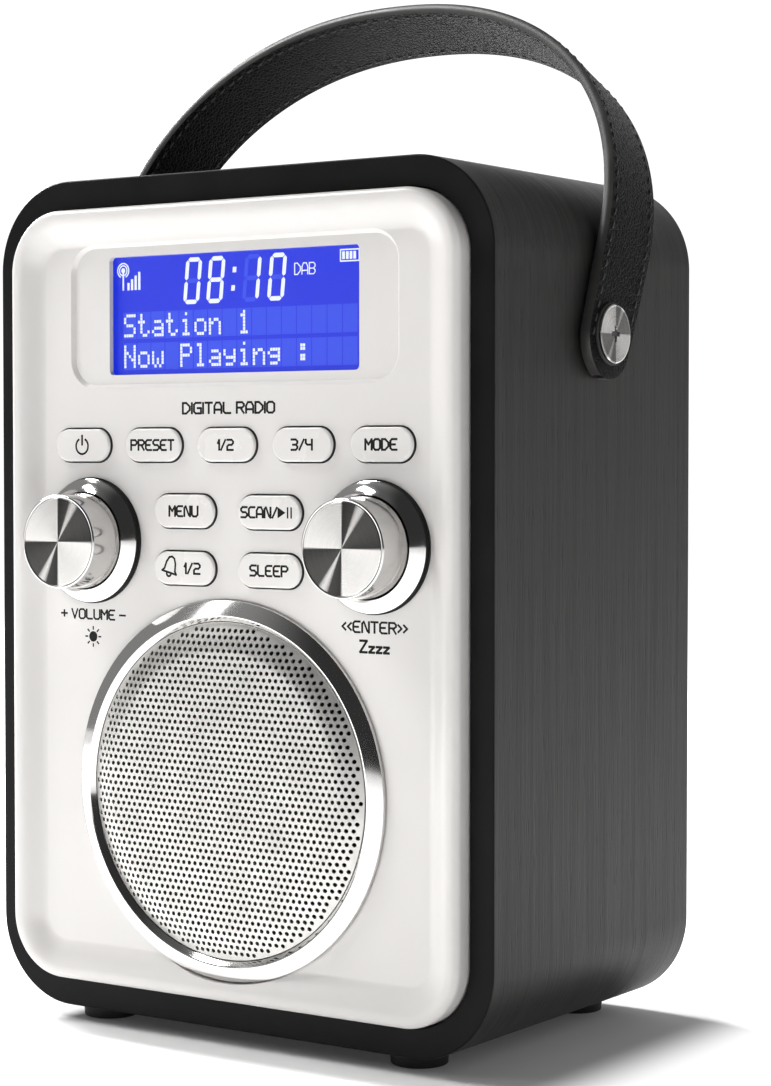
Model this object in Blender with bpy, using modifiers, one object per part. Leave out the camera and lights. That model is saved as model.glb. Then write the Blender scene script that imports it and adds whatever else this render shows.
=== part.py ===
"""Portable digital radio: a wrapped wooden cabinet with a white moulded front, two push knobs,
nine buttons, a ringed speaker and a leather carrying strap.

X runs to the right seen from the front, Y runs from the front to the back, Z is up. The origin is on
the surface that the feet stand on, under the middle of the whole radio. "Depth" below is measured
back from the cabinet's front edge (a negative depth stands proud of it), "rise" up from the
cabinet's underside, and "drop" down from its top. All lengths are in metres.
"""

import math

import bmesh
import bpy

# Clearances
GAP = 0.0003  # between pieces that touch
CLOSE = 0.00015  # in the clamped stack of a strap screw
ROUND = 0.0001  # how far a full round end stops short of half the width

# Cabinet
CABINET_WIDTH = 0.1288
CABINET_HEIGHT = 0.1800
CABINET_DEPTH = 0.0805
CABINET_CORNER = 0.0190
SIDE_WALL = 0.0057
TOP_WALL = 0.0063
POST_SIZE = 0.0150  # the four corner posts that the back screws bite into
POST_LENGTH = 0.0140

# Feet
FOOT_RADIUS = 0.0060
FOOT_HEIGHT = 0.0030
FOOT_SIDE = 0.0234  # from the cabinet's side to the foot's centre
FOOT_END = 0.0090  # from the cabinet's front or back edge to the foot's centre

# Front panel
RIM_PROUD = 0.0040
RIM_ROUND = 0.0014
RIM_FLAT = 0.0026  # from the panel's edge to the start of the dish
DISH_SLOPE = 0.0042  # width of the sloping border of the dish
FIELD_DEPTH = -0.0013
FIELD_THICKNESS = 0.0020
PANEL_LIP = 0.0070  # how deep the panel's skirt goes into the cabinet
PANEL_WALL = 0.0020

# Display
DISPLAY_DROP = 0.0297
SURROUND_WIDTH = 0.0860
SURROUND_HEIGHT = 0.0308
SURROUND_CORNER = 0.0062
SURROUND_SINK = 0.0007
WINDOW_WIDTH = 0.0655
WINDOW_HEIGHT = 0.0252
WINDOW_CORNER = 0.0010
LENS_THICKNESS = 0.0008
LENS_MARGIN = 0.0020
GLASS_THICKNESS = 0.0022
GLASS_MARGIN = 0.0040
BACKLIGHT_THICKNESS = 0.0036

# Buttons: name, distance from the middle, drop, and whether it is one of the wider keys
BUTTONS = (
    ("power_button", -0.0392, 0.0573, False),
    ("preset_button", -0.0196, 0.0573, False),
    ("preset_1_2_button", 0.0, 0.0573, False),
    ("preset_3_4_button", 0.0196, 0.0573, False),
    ("mode_button", 0.0392, 0.0573, False),
    ("menu_button", -0.0112, 0.0712, True),
    ("scan_button", 0.0112, 0.0712, True),
    ("alarm_button", -0.0112, 0.0832, True),
    ("sleep_button", 0.0112, 0.0832, True),
)
BUTTON_WIDTH = 0.0152
WIDE_BUTTON_WIDTH = 0.0162
BUTTON_HEIGHT = 0.0070
BUTTON_PROUD = 0.0009
BUTTON_ROUND = 0.0005
BUTTON_FLANGE = 0.0009  # how far the retaining flange reaches past the key, and its thickness
BUTTON_STEM = 0.0030
BUTTON_TRAVEL = 0.0006

# Control board
BOARD_THICKNESS = 0.0016
CONTROL_BOARD_WIDTH = 0.1040
CONTROL_BOARD_TOP_DROP = 0.0110
CONTROL_BOARD_BOTTOM_DROP = 0.0897
SWITCH_SIZE = 0.0060
SWITCH_HEIGHT = 0.0032

# Knobs
KNOB_SIDE = 0.0370
KNOB_DROP = 0.0778
KNOB_FACE_DEPTH = -0.0127
KNOB_RADIUS = 0.0100
KNOB_FLARE = 0.0003  # how much wider the knob is at its foot
KNOB_WALL = 0.0010
KNOB_TRAVEL = 0.0007
CAP_RADIUS = 0.0093
CAP_THICKNESS = 0.0008
BEZEL_FLARE = 0.0028  # width of the horn-shaped ring round a knob
BEZEL_RISE = 0.0030
BEZEL_EDGE = 0.0008  # height of its upright outer edge
BEZEL_BOSS = 0.0006
SHAFT_RADIUS = 0.0030
SHAFT_WALL = 0.0010
ENCODER_SIZE = 0.0120
ENCODER_BUSH = 0.0046
WHEEL_RADIUS = 0.0047
WHEEL_THICKNESS = 0.0030

# Speaker
SPEAKER_RISE = 0.0506
GRILLE_RADIUS = 0.0352
GRILLE_SLOPE = 0.0056  # width of the sloping border of the grille
GRILLE_EDGE_DEPTH = -0.0021
GRILLE_FACE_DEPTH = -0.0044
GRILLE_THICKNESS = 0.0007
RING_WIDTH = 0.0043
RING_OUTER_DEPTH = -0.0022
RING_INNER_DEPTH = -0.0033
RING_SPIGOT = 0.0010
RING_SINK = 0.0001  # the ring's seat is cut this far into the panel's field
GASKET_THICKNESS = 0.0021
FLANGE_THICKNESS = 0.0012
BASKET_DEPTH = 0.0245
BASKET_REAR_RADIUS = 0.0190
BASKET_WALL = 0.0010
MAGNET_RADIUS = 0.0200
MAGNET_LENGTH = 0.0096
POLE_RADIUS = 0.0055
COIL_RADIUS = 0.0070
CONE_RADIUS = 0.0272
CONE_TRAVEL = 0.0010

# Back
BACK_RECESS = 0.0010
BACK_THICKNESS = 0.0030
BACK_SCREW_INSET = 0.0092  # from the edge of the back to the screw, both ways
SCREW_RADIUS = 0.0013
SCREW_HEAD_RADIUS = 0.0027
SCREW_HEAD_HEIGHT = 0.0012
SCREW_LENGTH = 0.0110
BATTERY_WIDTH = 0.0700
BATTERY_HEIGHT = 0.0370
BATTERY_THICKNESS = 0.0190
BATTERY_RISE = 0.0310
TRAY_SPACE = 0.0010
TRAY_WALL = 0.0020
DOOR_LAP = 0.0020
DOOR_THICKNESS = 0.0020
MAIN_BOARD_WIDTH = 0.0880
MAIN_BOARD_HEIGHT = 0.0700
MAIN_BOARD_RISE = 0.1010
STANDOFF_LENGTH = 0.0150
STANDOFF_RADIUS = 0.0030
CAN_SIZE = 0.0300
CAN_HEIGHT = 0.0050
JACK_RADIUS = 0.0048
JACK_LENGTH = 0.0120
JACK_RISE = 0.0640
POWER_JACK_SIDE = -0.0300
POWER_JACK_BORE = 0.0028
HEADPHONE_JACK_SIDE = -0.0140
HEADPHONE_JACK_BORE = 0.0018

# Aerial
AERIAL_SIDE = 0.0440
AERIAL_DROP = 0.0320
AERIAL_LENGTH = 0.0880  # from the hinge pin to the end of the outer tube
AERIAL_RADII = (0.00260, 0.00195, 0.00130, 0.00065)
AERIAL_WALL = 0.00035
TUBE_FLOOR = 0.0010
AERIAL_STEP = 0.0010  # how far each tube shows past the one around it
BASE_RADIUS = 0.0060
BASE_THICKNESS = 0.0012
EAR_RADIUS = 0.0034
EAR_THICKNESS = 0.0014
PIN_RADIUS = 0.0010
REST_SIZE = 0.0040

# Carrying strap
STRAP_WIDTH = 0.0190
STRAP_THICKNESS = 0.0023
STRAP_SIDE_GAP = 0.0008  # between the strap and the cabinet's side
STRAP_REACH = 0.0783  # from the screws' axis to the top of the arch
STRAP_STRAIGHT = 0.0180  # how far the legs run straight before the arch begins
STRAP_FULLNESS = 2.2  # 2 is an ellipse; more is squarer
STRAP_LEAN = math.radians(21.5)
STRAP_STEPS = 30
STRAP_DROP = 0.0345
STUD_RADIUS = 0.0020
STUD_HEAD_RADIUS = 0.0061
STUD_HEAD = 0.0008
STUD_WASHER_RADIUS = 0.0063
STUD_WASHER = 0.0008
INSERT_WALL = 0.0013

# Small edges, lands and clearances inside the turned pieces
EDGE_BREAK = 0.0002  # the small edge broken on turned metal pieces
POST_INSET = 0.0010  # how far the screw posts stand in from their corners
FOOT_DRAFT = 0.0005  # the feet's taper, towards both ends
BEZEL_LIP = 0.0009  # height of the knob ring's plain foot under its flare
HORN_STEPS = 5
CAP_SINK = 0.0003  # depth of the knob's rim inside, around its cap
KNOB_ROUND = 0.0005  # rounding of the knob's outer rim
ENCODER_BUSH_DEPTH = -0.0025
ENCODER_WALL = 0.0010
RING_CHAMFER = 0.0008  # inner bevel of the speaker's ring
RING_ROUND = 0.0004  # outer edge of the speaker's ring
FRAME_INSET = 0.0010  # how far the speaker's frame stays inside the ring
GASKET_ROOM = 0.0004
BASKET_MOUTH = 0.0062  # room for the surround, outside the cone
BASKET_HEEL = 0.0030  # straight wall at the rear of the basket
COIL_ROOM = 0.0025
MAGNET_SLOT = 0.0015
MAGNET_FLOOR = 0.0030
POLE_PROUD = 0.0020
CONE_PAPER = 0.0008
CONE_NECK = 0.0060
COIL_WALL = 0.0010
DUST_CAP_RISE = 0.0020
ROLL_LAND = 0.0010  # flat land on both sides of the surround's roll
ROLL_SKIN = 0.0006
ROLL_HEIGHT = 0.0015
ROLL_STEPS = 6
JACK_FLOOR = 0.0020
TUBE_ROOT = 0.0050  # where the aerial's tube starts beyond its pivot
ROOT_FLAT = 0.8  # the flattened root, as a share of the tube's width
TIP_LENGTH = 0.0040
TIP_ROUND = 0.0008

# Worked out from the sizes above
MIDDLE_RISE = CABINET_HEIGHT / 2
PANEL_WIDTH = CABINET_WIDTH - 2 * (SIDE_WALL + GAP)
PANEL_HEIGHT = CABINET_HEIGHT - 2 * (TOP_WALL + GAP)
PANEL_CORNER = CABINET_CORNER - (SIDE_WALL + TOP_WALL) / 2 + GAP
FIELD_BACK = FIELD_DEPTH + FIELD_THICKNESS
SWITCH_TOP = FIELD_BACK + GAP + BUTTON_FLANGE + BUTTON_STEM + BUTTON_TRAVEL + GAP
BOARD_DEPTH = SWITCH_TOP + SWITCH_HEIGHT
BACK_FACE = CABINET_DEPTH - BACK_RECESS
BACK_INNER = BACK_FACE - BACK_THICKNESS
MAST_DEPTH = BACK_FACE + GAP + BASE_THICKNESS + GAP + AERIAL_RADII[0]
REAR_END = MAST_DEPTH + EAR_RADIUS
FRONT = -(KNOB_FACE_DEPTH + REAR_END) / 2  # the Y of the cabinet's front edge
MID_DEPTH = CABINET_DEPTH / 2
STRAP_OUTER = CABINET_WIDTH / 2 + STRAP_SIDE_GAP + STRAP_THICKNESS

COARSE, FINE, FINEST = 18, 32, 48  # sides of small, middling and large turned pieces

FORWARDS = (math.radians(90), 0, 0)  # a turned piece's top end faces the front
BACKWARDS = (math.radians(-90), 0, 0)
RIGHTWARDS = (0, math.radians(90), 0)
LEFTWARDS = (0, math.radians(-90), 0)
UPWARDS = (0, 0, 0)


def clear_scene():
    for obj in list(bpy.data.objects):
        bpy.data.objects.remove(obj, do_unlink=True)


def new_collection(name, helpers=False):
    collection = bpy.data.collections.new(name)
    bpy.context.scene.collection.children.link(collection)
    collection.hide_render = helpers
    return collection


def at(x, depth, rise):
    """The world position of a point given by its depth and its rise."""
    return (x, FRONT + depth, FOOT_HEIGHT + rise)


def add_object(name, data, location, rotation=UPWARDS, helper=False):
    obj = bpy.data.objects.new(name, data)
    obj.location = location
    obj.rotation_euler = rotation
    if helper:
        cutters.objects.link(obj)
        obj.hide_render = True
        obj.display_type = "WIRE"
    else:
        radio.objects.link(obj)
    return obj


def finish(obj, colour, roughness, metallic=0.0):
    """Gives a piece a material of its own."""
    material = bpy.data.materials.new(obj.name)
    material.use_nodes = True
    shader = material.node_tree.nodes["Principled BSDF"]
    shader.inputs["Base Color"].default_value = (*colour, 1)
    shader.inputs["Roughness"].default_value = roughness
    shader.inputs["Metallic"].default_value = metallic
    obj.data.materials.append(material)
    return obj


def block(name, size, location, corner=0.0, along="Y", steps=5, rotation=UPWARDS, helper=False, ease=0.0):
    """A box, with the four edges that run along one axis rounded and its front outline eased."""
    axis = "XYZ".index(along)
    bm = bmesh.new()
    bmesh.ops.create_cube(bm, size=1)
    bmesh.ops.scale(bm, vec=size, verts=bm.verts)
    if corner:
        ribs = [e for e in bm.edges if abs(e.verts[0].co[axis] - e.verts[1].co[axis]) > size[axis] / 2]
        bmesh.ops.bevel(bm, geom=ribs, offset=corner, segments=steps, profile=0.5, affect="EDGES")
    if ease:
        front = -size[1] / 2
        outline = [e for e in bm.edges if all(abs(v.co.y - front) < 1e-6 for v in e.verts)]
        bmesh.ops.bevel(bm, geom=outline, offset=ease, segments=2, profile=0.5, affect="EDGES")
    mesh = bpy.data.meshes.new(name)
    bm.to_mesh(mesh)
    bm.free()
    return add_object(name, mesh, location, rotation, helper)


def turned(name, profile, location, rotation, steps, helper=False):
    """A turned piece. The profile is (radius, height) from the top end down the outside; it starts
    and ends on the axis, or is closed where the piece has a bore."""
    solid = profile[0][0] == 0
    mesh = bpy.data.meshes.new(name)
    points = [(radius, 0, height) for radius, height in profile]
    edges = [(i, i + 1) for i in range(len(points) - 1)]
    if not solid:
        edges.append((len(points) - 1, 0))
    mesh.from_pydata(points, edges, [])
    obj = add_object(name, mesh, location, rotation, helper)
    screw = obj.modifiers.new("Turn", "SCREW")
    screw.angle = math.radians(360)
    screw.steps = screw.render_steps = steps
    screw.use_merge_vertices = True
    screw.merge_threshold = 1e-6
    screw.use_smooth_shade = True
    return obj


def front_turned(name, profile, x, rise, steps, helper=False):
    """A turned piece that faces the front: its profile is (radius, depth) from the front end back."""
    flipped = [(radius, -depth) for radius, depth in profile]
    return turned(name, flipped, at(x, 0, rise), FORWARDS, steps, helper)


def rear_turned(name, profile, x, rise, steps, helper=False):
    """A turned piece that faces the back: its profile is (radius, depth) from the back end forward."""
    return turned(name, profile, at(x, 0, rise), BACKWARDS, steps, helper)


def boolean(target, helper, operation="DIFFERENCE"):
    modifier = target.modifiers.new(helper.name, "BOOLEAN")
    modifier.object = helper
    modifier.operation = operation
    modifier.solver = "EXACT"


def span(low, high):
    """The length and the middle of a stretch."""
    return high - low, (low + high) / 2


def block_between(name, width, depths, rises, x=0.0, **options):
    """A box given by its width, its front and back depths, and its lowest and highest rise."""
    deep, mid_depth = span(*depths)
    tall, mid_rise = span(*rises)
    return block(name, (width, deep, tall), at(x, mid_depth, mid_rise), **options)


def arc(centre, radii, start, end, steps):
    """Points along a stretch of an ellipse, angles in degrees."""
    angles = [math.radians(start + (end - start) * i / steps) for i in range(steps + 1)]
    return [(centre[0] + radii[0] * math.cos(a), centre[1] + radii[1] * math.sin(a)) for a in angles]


def make_cabinet():
    shell = block(
        "cabinet_shell", (CABINET_WIDTH, CABINET_DEPTH, CABINET_HEIGHT),
        at(0, MID_DEPTH, MIDDLE_RISE), corner=CABINET_CORNER, steps=8,
    )
    mouth = (CABINET_WIDTH - 2 * SIDE_WALL, CABINET_DEPTH + 2 * GAP, CABINET_HEIGHT - 2 * TOP_WALL)
    boolean(shell, block(
        "cabinet_mouth", mouth, at(0, MID_DEPTH, MIDDLE_RISE),
        corner=PANEL_CORNER + GAP, steps=8, helper=True,
    ))
    post_depths = (BACK_INNER - GAP - POST_LENGTH, BACK_INNER - GAP)
    for x, rise, tag in corner_places(POST_SIZE / 2 - GAP - POST_INSET):
        post = block_between(
            f"corner_post_{tag}", POST_SIZE, post_depths,
            (rise - POST_SIZE / 2, rise + POST_SIZE / 2), x=x, corner=POST_SIZE / 3, steps=4, helper=True,
        )
        boolean(shell, post, "UNION")
    for x, rise, tag in corner_places(BACK_SCREW_INSET):
        pilot = [(0, BACK_FACE), (SCREW_RADIUS + CLOSE, BACK_FACE),
                 (SCREW_RADIUS + CLOSE, BACK_FACE - SCREW_LENGTH - GAP), (0, BACK_FACE - SCREW_LENGTH - GAP)]
        boolean(shell, rear_turned(f"pilot_{tag}", pilot, x, rise, COARSE, helper=True))
    insert_radius = STUD_RADIUS + CLOSE + INSERT_WALL + CLOSE
    boolean(shell, side_cylinder("insert_bore", insert_radius, CABINET_WIDTH / 2 + GAP))
    finish(shell, (0.035, 0.035, 0.036), 0.45)

    foot = [(0, 0), (FOOT_RADIUS - FOOT_DRAFT, 0), (FOOT_RADIUS, -FOOT_HEIGHT / 2),
            (FOOT_RADIUS - FOOT_DRAFT, -FOOT_HEIGHT + GAP), (0, -FOOT_HEIGHT + GAP)]
    x = CABINET_WIDTH / 2 - FOOT_SIDE
    for side, sign in (("left", -1), ("right", 1)):
        for end, depth in (("front", FOOT_END), ("rear", CABINET_DEPTH - FOOT_END)):
            place = (sign * x, FRONT + depth, FOOT_HEIGHT - GAP)
            finish(turned(f"foot_{end}_{side}", foot, place, UPWARDS, COARSE), (0.02, 0.02, 0.02), 0.8)


def corner_places(inset):
    """The four corners of the back, this far in from its edges: (x, rise, name)."""
    x = PANEL_WIDTH / 2 - inset
    reach = PANEL_HEIGHT / 2 - inset
    return [
        (side * x, MIDDLE_RISE + end * reach,
        f"{'upper' if end > 0 else 'lower'}_{'right' if side > 0 else 'left'}")
        for end in (1, -1)
        for side in (-1, 1)
    ]


def side_cylinder(name, radius, reach):
    """A cutter along the strap screws' axis, right across the cabinet."""
    profile = [(0, reach), (radius, reach), (radius, -reach), (0, -reach)]
    place = at(0, MID_DEPTH, CABINET_HEIGHT - STRAP_DROP)
    return turned(name, profile, place, RIGHTWARDS, COARSE, helper=True)


def make_front_panel():
    middle = PANEL_HEIGHT / 2
    rises = (MIDDLE_RISE - middle, MIDDLE_RISE + middle)
    panel = block_between(
        "front_panel", PANEL_WIDTH, (-RIM_PROUD, PANEL_LIP), rises,
        corner=PANEL_CORNER, steps=8, ease=RIM_ROUND,
    )
    boolean(panel, dish_cutter())
    inner = middle - PANEL_WALL
    boolean(panel, block_between(
        "panel_pocket", PANEL_WIDTH - 2 * PANEL_WALL, (FIELD_BACK, PANEL_LIP + GAP),
        (MIDDLE_RISE - inner, MIDDLE_RISE + inner), corner=PANEL_CORNER - PANEL_WALL, helper=True,
    ))
    rise = CABINET_HEIGHT - DISPLAY_DROP
    boolean(panel, block_between(
        "surround_sink", SURROUND_WIDTH, (FIELD_DEPTH - GAP, FIELD_DEPTH + SURROUND_SINK),
        (rise - SURROUND_HEIGHT / 2, rise + SURROUND_HEIGHT / 2), corner=SURROUND_CORNER, helper=True,
    ))
    boolean(panel, block_between(
        "window_cut", WINDOW_WIDTH, (FIELD_DEPTH, FIELD_BACK + GAP),
        (rise - WINDOW_HEIGHT / 2, rise + WINDOW_HEIGHT / 2), corner=WINDOW_CORNER, steps=3, helper=True,
    ))
    for name, x, drop, wide in BUTTONS:
        boolean(panel, key_block(f"{name}_hole", x, drop, wide, GAP, (FIELD_DEPTH - GAP,
            FIELD_BACK + GAP), helper=True))
    for side, x in (("volume", -KNOB_SIDE), ("enter", KNOB_SIDE)):
        hole = bezel_boss_radius() + GAP
        boolean(panel, round_hole(f"{side}_hole", hole, x, CABINET_HEIGHT - KNOB_DROP))
    spigot = GRILLE_RADIUS + GAP + RING_SPIGOT
    edge = GRILLE_RADIUS + RING_WIDTH + GAP
    seat = FIELD_DEPTH + RING_SINK
    step = [(0, -RIM_PROUD - GAP), (edge, -RIM_PROUD - GAP), (edge, seat), (spigot + GAP, seat),
            (spigot + GAP, FIELD_BACK + GAP), (0, FIELD_BACK + GAP)]
    boolean(panel, front_turned("speaker_hole", step, 0, SPEAKER_RISE, FINEST, helper=True))
    finish(panel, (0.80, 0.79, 0.77), 0.18)


def dish_cutter():
    """The dish in the front: a block whose back outline is smaller than its front outline."""
    outer = (PANEL_WIDTH - 2 * RIM_FLAT, PANEL_HEIGHT - 2 * RIM_FLAT)
    inner = (outer[0] - 2 * DISH_SLOPE, outer[1] - 2 * DISH_SLOPE)
    cutter = block_between(
        "dish", outer[0], (-RIM_PROUD, FIELD_DEPTH),
        (MIDDLE_RISE - outer[1] / 2, MIDDLE_RISE + outer[1] / 2),
        corner=PANEL_CORNER - RIM_FLAT, helper=True,
    )
    for vertex in cutter.data.vertices:
        if vertex.co.y > 0:
            vertex.co.x *= inner[0] / outer[0]
            vertex.co.z *= inner[1] / outer[1]
        else:
            # Carries the slope on past the rim, so that the cut is open at the front.
            depth = RIM_PROUD + FIELD_DEPTH
            vertex.co.x *= 1 + 2 * DISH_SLOPE * GAP / depth / outer[0]
            vertex.co.z *= 1 + 2 * DISH_SLOPE * GAP / depth / outer[1]
            vertex.co.y -= GAP
    return cutter


def round_hole(name, radius, x, rise):
    profile = [(0, FIELD_DEPTH - GAP), (radius, FIELD_DEPTH - GAP), (radius, FIELD_BACK + GAP), (0,
        FIELD_BACK + GAP)]
    return front_turned(name, profile, x, rise, FINEST, helper=True)


def key_block(name, x, drop, wide, margin, depths, **options):
    """A block with full round ends, the shape of a key or of the hole around it."""
    width = (WIDE_BUTTON_WIDTH if wide else BUTTON_WIDTH) + 2 * margin
    tall = BUTTON_HEIGHT + 2 * margin
    rise = CABINET_HEIGHT - drop
    rises = (rise - tall / 2, rise + tall / 2)
    return block_between(name, width, depths, rises, x=x, corner=tall / 2 - ROUND, **options)


def make_display():
    rise = CABINET_HEIGHT - DISPLAY_DROP
    depth = FIELD_BACK + GAP
    layers = (
        ("display_lens", LENS_THICKNESS, LENS_MARGIN, (0.75, 0.78, 0.80), 0.05),
        ("lcd_glass", GLASS_THICKNESS, GLASS_MARGIN, (0.03, 0.06, 0.80), 0.20),
        ("lcd_backlight", BACKLIGHT_THICKNESS, GLASS_MARGIN, (0.85, 0.85, 0.88), 0.50),
    )
    for name, thickness, margin, colour, roughness in layers:
        half = WINDOW_HEIGHT / 2 + margin
        layer = block_between(
            name, WINDOW_WIDTH + 2 * margin, (depth, depth + thickness), (rise - half, rise + half),
        )
        finish(layer, colour, roughness)
        depth += thickness + GAP


def make_buttons():
    for name, x, drop, wide in BUTTONS:
        flange = FIELD_BACK + GAP
        key = key_block(
            name, x, drop, wide, 0, (FIELD_DEPTH - BUTTON_PROUD, flange + BUTTON_FLANGE / 2),
            steps=4, ease=BUTTON_ROUND,
        )
        boolean(key, key_block(
            f"{name}_flange", x, drop, wide, BUTTON_FLANGE, (flange, flange + BUTTON_FLANGE), steps=3,
            helper=True,
        ), "UNION")
        rise = CABINET_HEIGHT - drop
        boolean(key, block_between(
            f"{name}_stem", BUTTON_STEM,
            (flange + BUTTON_FLANGE / 2, flange + BUTTON_FLANGE + BUTTON_STEM),
            (rise - BUTTON_STEM / 2, rise + BUTTON_STEM / 2), x=x, helper=True,
        ), "UNION")
        finish(key, (0.80, 0.79, 0.77), 0.20)


def make_control_board():
    board = block_between(
        "control_board", CONTROL_BOARD_WIDTH, (BOARD_DEPTH, BOARD_DEPTH + BOARD_THICKNESS),
        (CABINET_HEIGHT - CONTROL_BOARD_BOTTOM_DROP, CABINET_HEIGHT - CONTROL_BOARD_TOP_DROP),
    )
    for name, x, drop, _ in BUTTONS:
        rise = CABINET_HEIGHT - drop
        boolean(board, block_between(
            f"{name}_switch", SWITCH_SIZE, (SWITCH_TOP, BOARD_DEPTH + BOARD_THICKNESS / 2),
            (rise - SWITCH_SIZE / 2, rise + SWITCH_SIZE / 2), x=x, helper=True,
        ), "UNION")
    finish(board, (0.02, 0.16, 0.07), 0.50)


def bezel_bore():
    return KNOB_RADIUS + KNOB_FLARE + GAP


def bezel_boss_radius():
    return bezel_bore() + BEZEL_BOSS


def make_knob(side, x):
    """One push knob: its fixed ring, its encoder, and the pieces that turn or travel."""
    rise = CABINET_HEIGHT - KNOB_DROP
    bore, boss = bezel_bore(), bezel_boss_radius()
    seat = FIELD_DEPTH - GAP
    crest = seat - BEZEL_EDGE - BEZEL_RISE + BEZEL_LIP
    edge = bore + BEZEL_FLARE
    flare = (BEZEL_FLARE - 2 * EDGE_BREAK, BEZEL_RISE - BEZEL_LIP)
    horn = list(reversed(arc((edge - EDGE_BREAK, crest), flare, 90, 180, HORN_STEPS)))
    bezel = [(bore, crest)] + horn + [
        (edge, seat - BEZEL_EDGE + EDGE_BREAK / 2), (edge, seat), (boss, seat), (boss, FIELD_BACK),
        (bore, FIELD_BACK),
    ]
    finish(front_turned(f"{side}_knob_ring", bezel, x, rise, FINE), (0.75, 0.75, 0.76), 0.06, 1.0)

    foot = FIELD_DEPTH - GAP
    floor = KNOB_FACE_DEPTH + CAP_THICKNESS + GAP
    web = floor + KNOB_WALL
    hub = SHAFT_RADIUS + CLOSE + SHAFT_WALL
    hub_end = ENCODER_BUSH_DEPTH - KNOB_TRAVEL - GAP
    wide = KNOB_RADIUS + KNOB_FLARE
    knob = [
        (0, floor), (CAP_RADIUS + CLOSE, floor), (CAP_RADIUS + CLOSE, KNOB_FACE_DEPTH + CAP_SINK),
        (CAP_RADIUS + 2 * EDGE_BREAK, KNOB_FACE_DEPTH + EDGE_BREAK / 2), (KNOB_RADIUS,
        KNOB_FACE_DEPTH + KNOB_ROUND),
        (wide, foot), (wide - KNOB_WALL, foot), (KNOB_RADIUS - KNOB_WALL, web), (hub, web), (hub, hub_end),
        (SHAFT_RADIUS + CLOSE, hub_end), (SHAFT_RADIUS + CLOSE, web), (0, web),
    ]
    finish(front_turned(f"{side}_knob", knob, x, rise, FINE), (0.72, 0.72, 0.73), 0.12, 1.0)
    cap = [(0, KNOB_FACE_DEPTH), (CAP_RADIUS - EDGE_BREAK, KNOB_FACE_DEPTH), (CAP_RADIUS,
        KNOB_FACE_DEPTH + EDGE_BREAK),
           (CAP_RADIUS, floor - GAP), (0, floor - GAP)]
    finish(front_turned(f"{side}_knob_cap", cap, x, rise, FINE), (0.80, 0.79, 0.78), 0.25, 1.0)

    body_back = BOARD_DEPTH - GAP
    wheel_back = body_back - KNOB_TRAVEL - GAP
    body_front = wheel_back - WHEEL_THICKNESS - 2 * GAP - ENCODER_WALL
    half = ENCODER_SIZE / 2
    body = block_between(
        f"{side}_encoder", ENCODER_SIZE, (body_front, body_back), (rise - half, rise + half), x=x,
    )
    bush = [(0, ENCODER_BUSH_DEPTH), (ENCODER_BUSH, ENCODER_BUSH_DEPTH), (ENCODER_BUSH,
        body_front + GAP), (0, body_front + GAP)]
    boolean(body, front_turned(f"{side}_encoder_bush", bush, x, rise, COARSE, helper=True), "UNION")
    chamber = body_front + ENCODER_WALL
    clear = SHAFT_RADIUS + CLOSE
    room = WHEEL_RADIUS + GAP
    bores = [(0, ENCODER_BUSH_DEPTH - GAP), (clear, ENCODER_BUSH_DEPTH - GAP), (clear, chamber), (room,
        chamber),
             (room, body_back + GAP), (0, body_back + GAP)]
    boolean(body, front_turned(f"{side}_encoder_bore", bores, x, rise, COARSE, helper=True))
    finish(body, (0.10, 0.10, 0.11), 0.50)

    wheel = [(clear, chamber + GAP), (WHEEL_RADIUS, chamber + GAP),
             (WHEEL_RADIUS, chamber + GAP + WHEEL_THICKNESS), (clear, chamber + GAP + WHEEL_THICKNESS)]
    finish(front_turned(f"{side}_detent_wheel", wheel, x, rise, COARSE), (0.60, 0.55, 0.40), 0.35, 1.0)
    shaft = [(0, web + GAP), (SHAFT_RADIUS, web + GAP), (SHAFT_RADIUS, wheel_back), (0, wheel_back)]
    finish(front_turned(f"{side}_shaft", shaft, x, rise, COARSE), (0.65, 0.65, 0.66), 0.30, 1.0)


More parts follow.
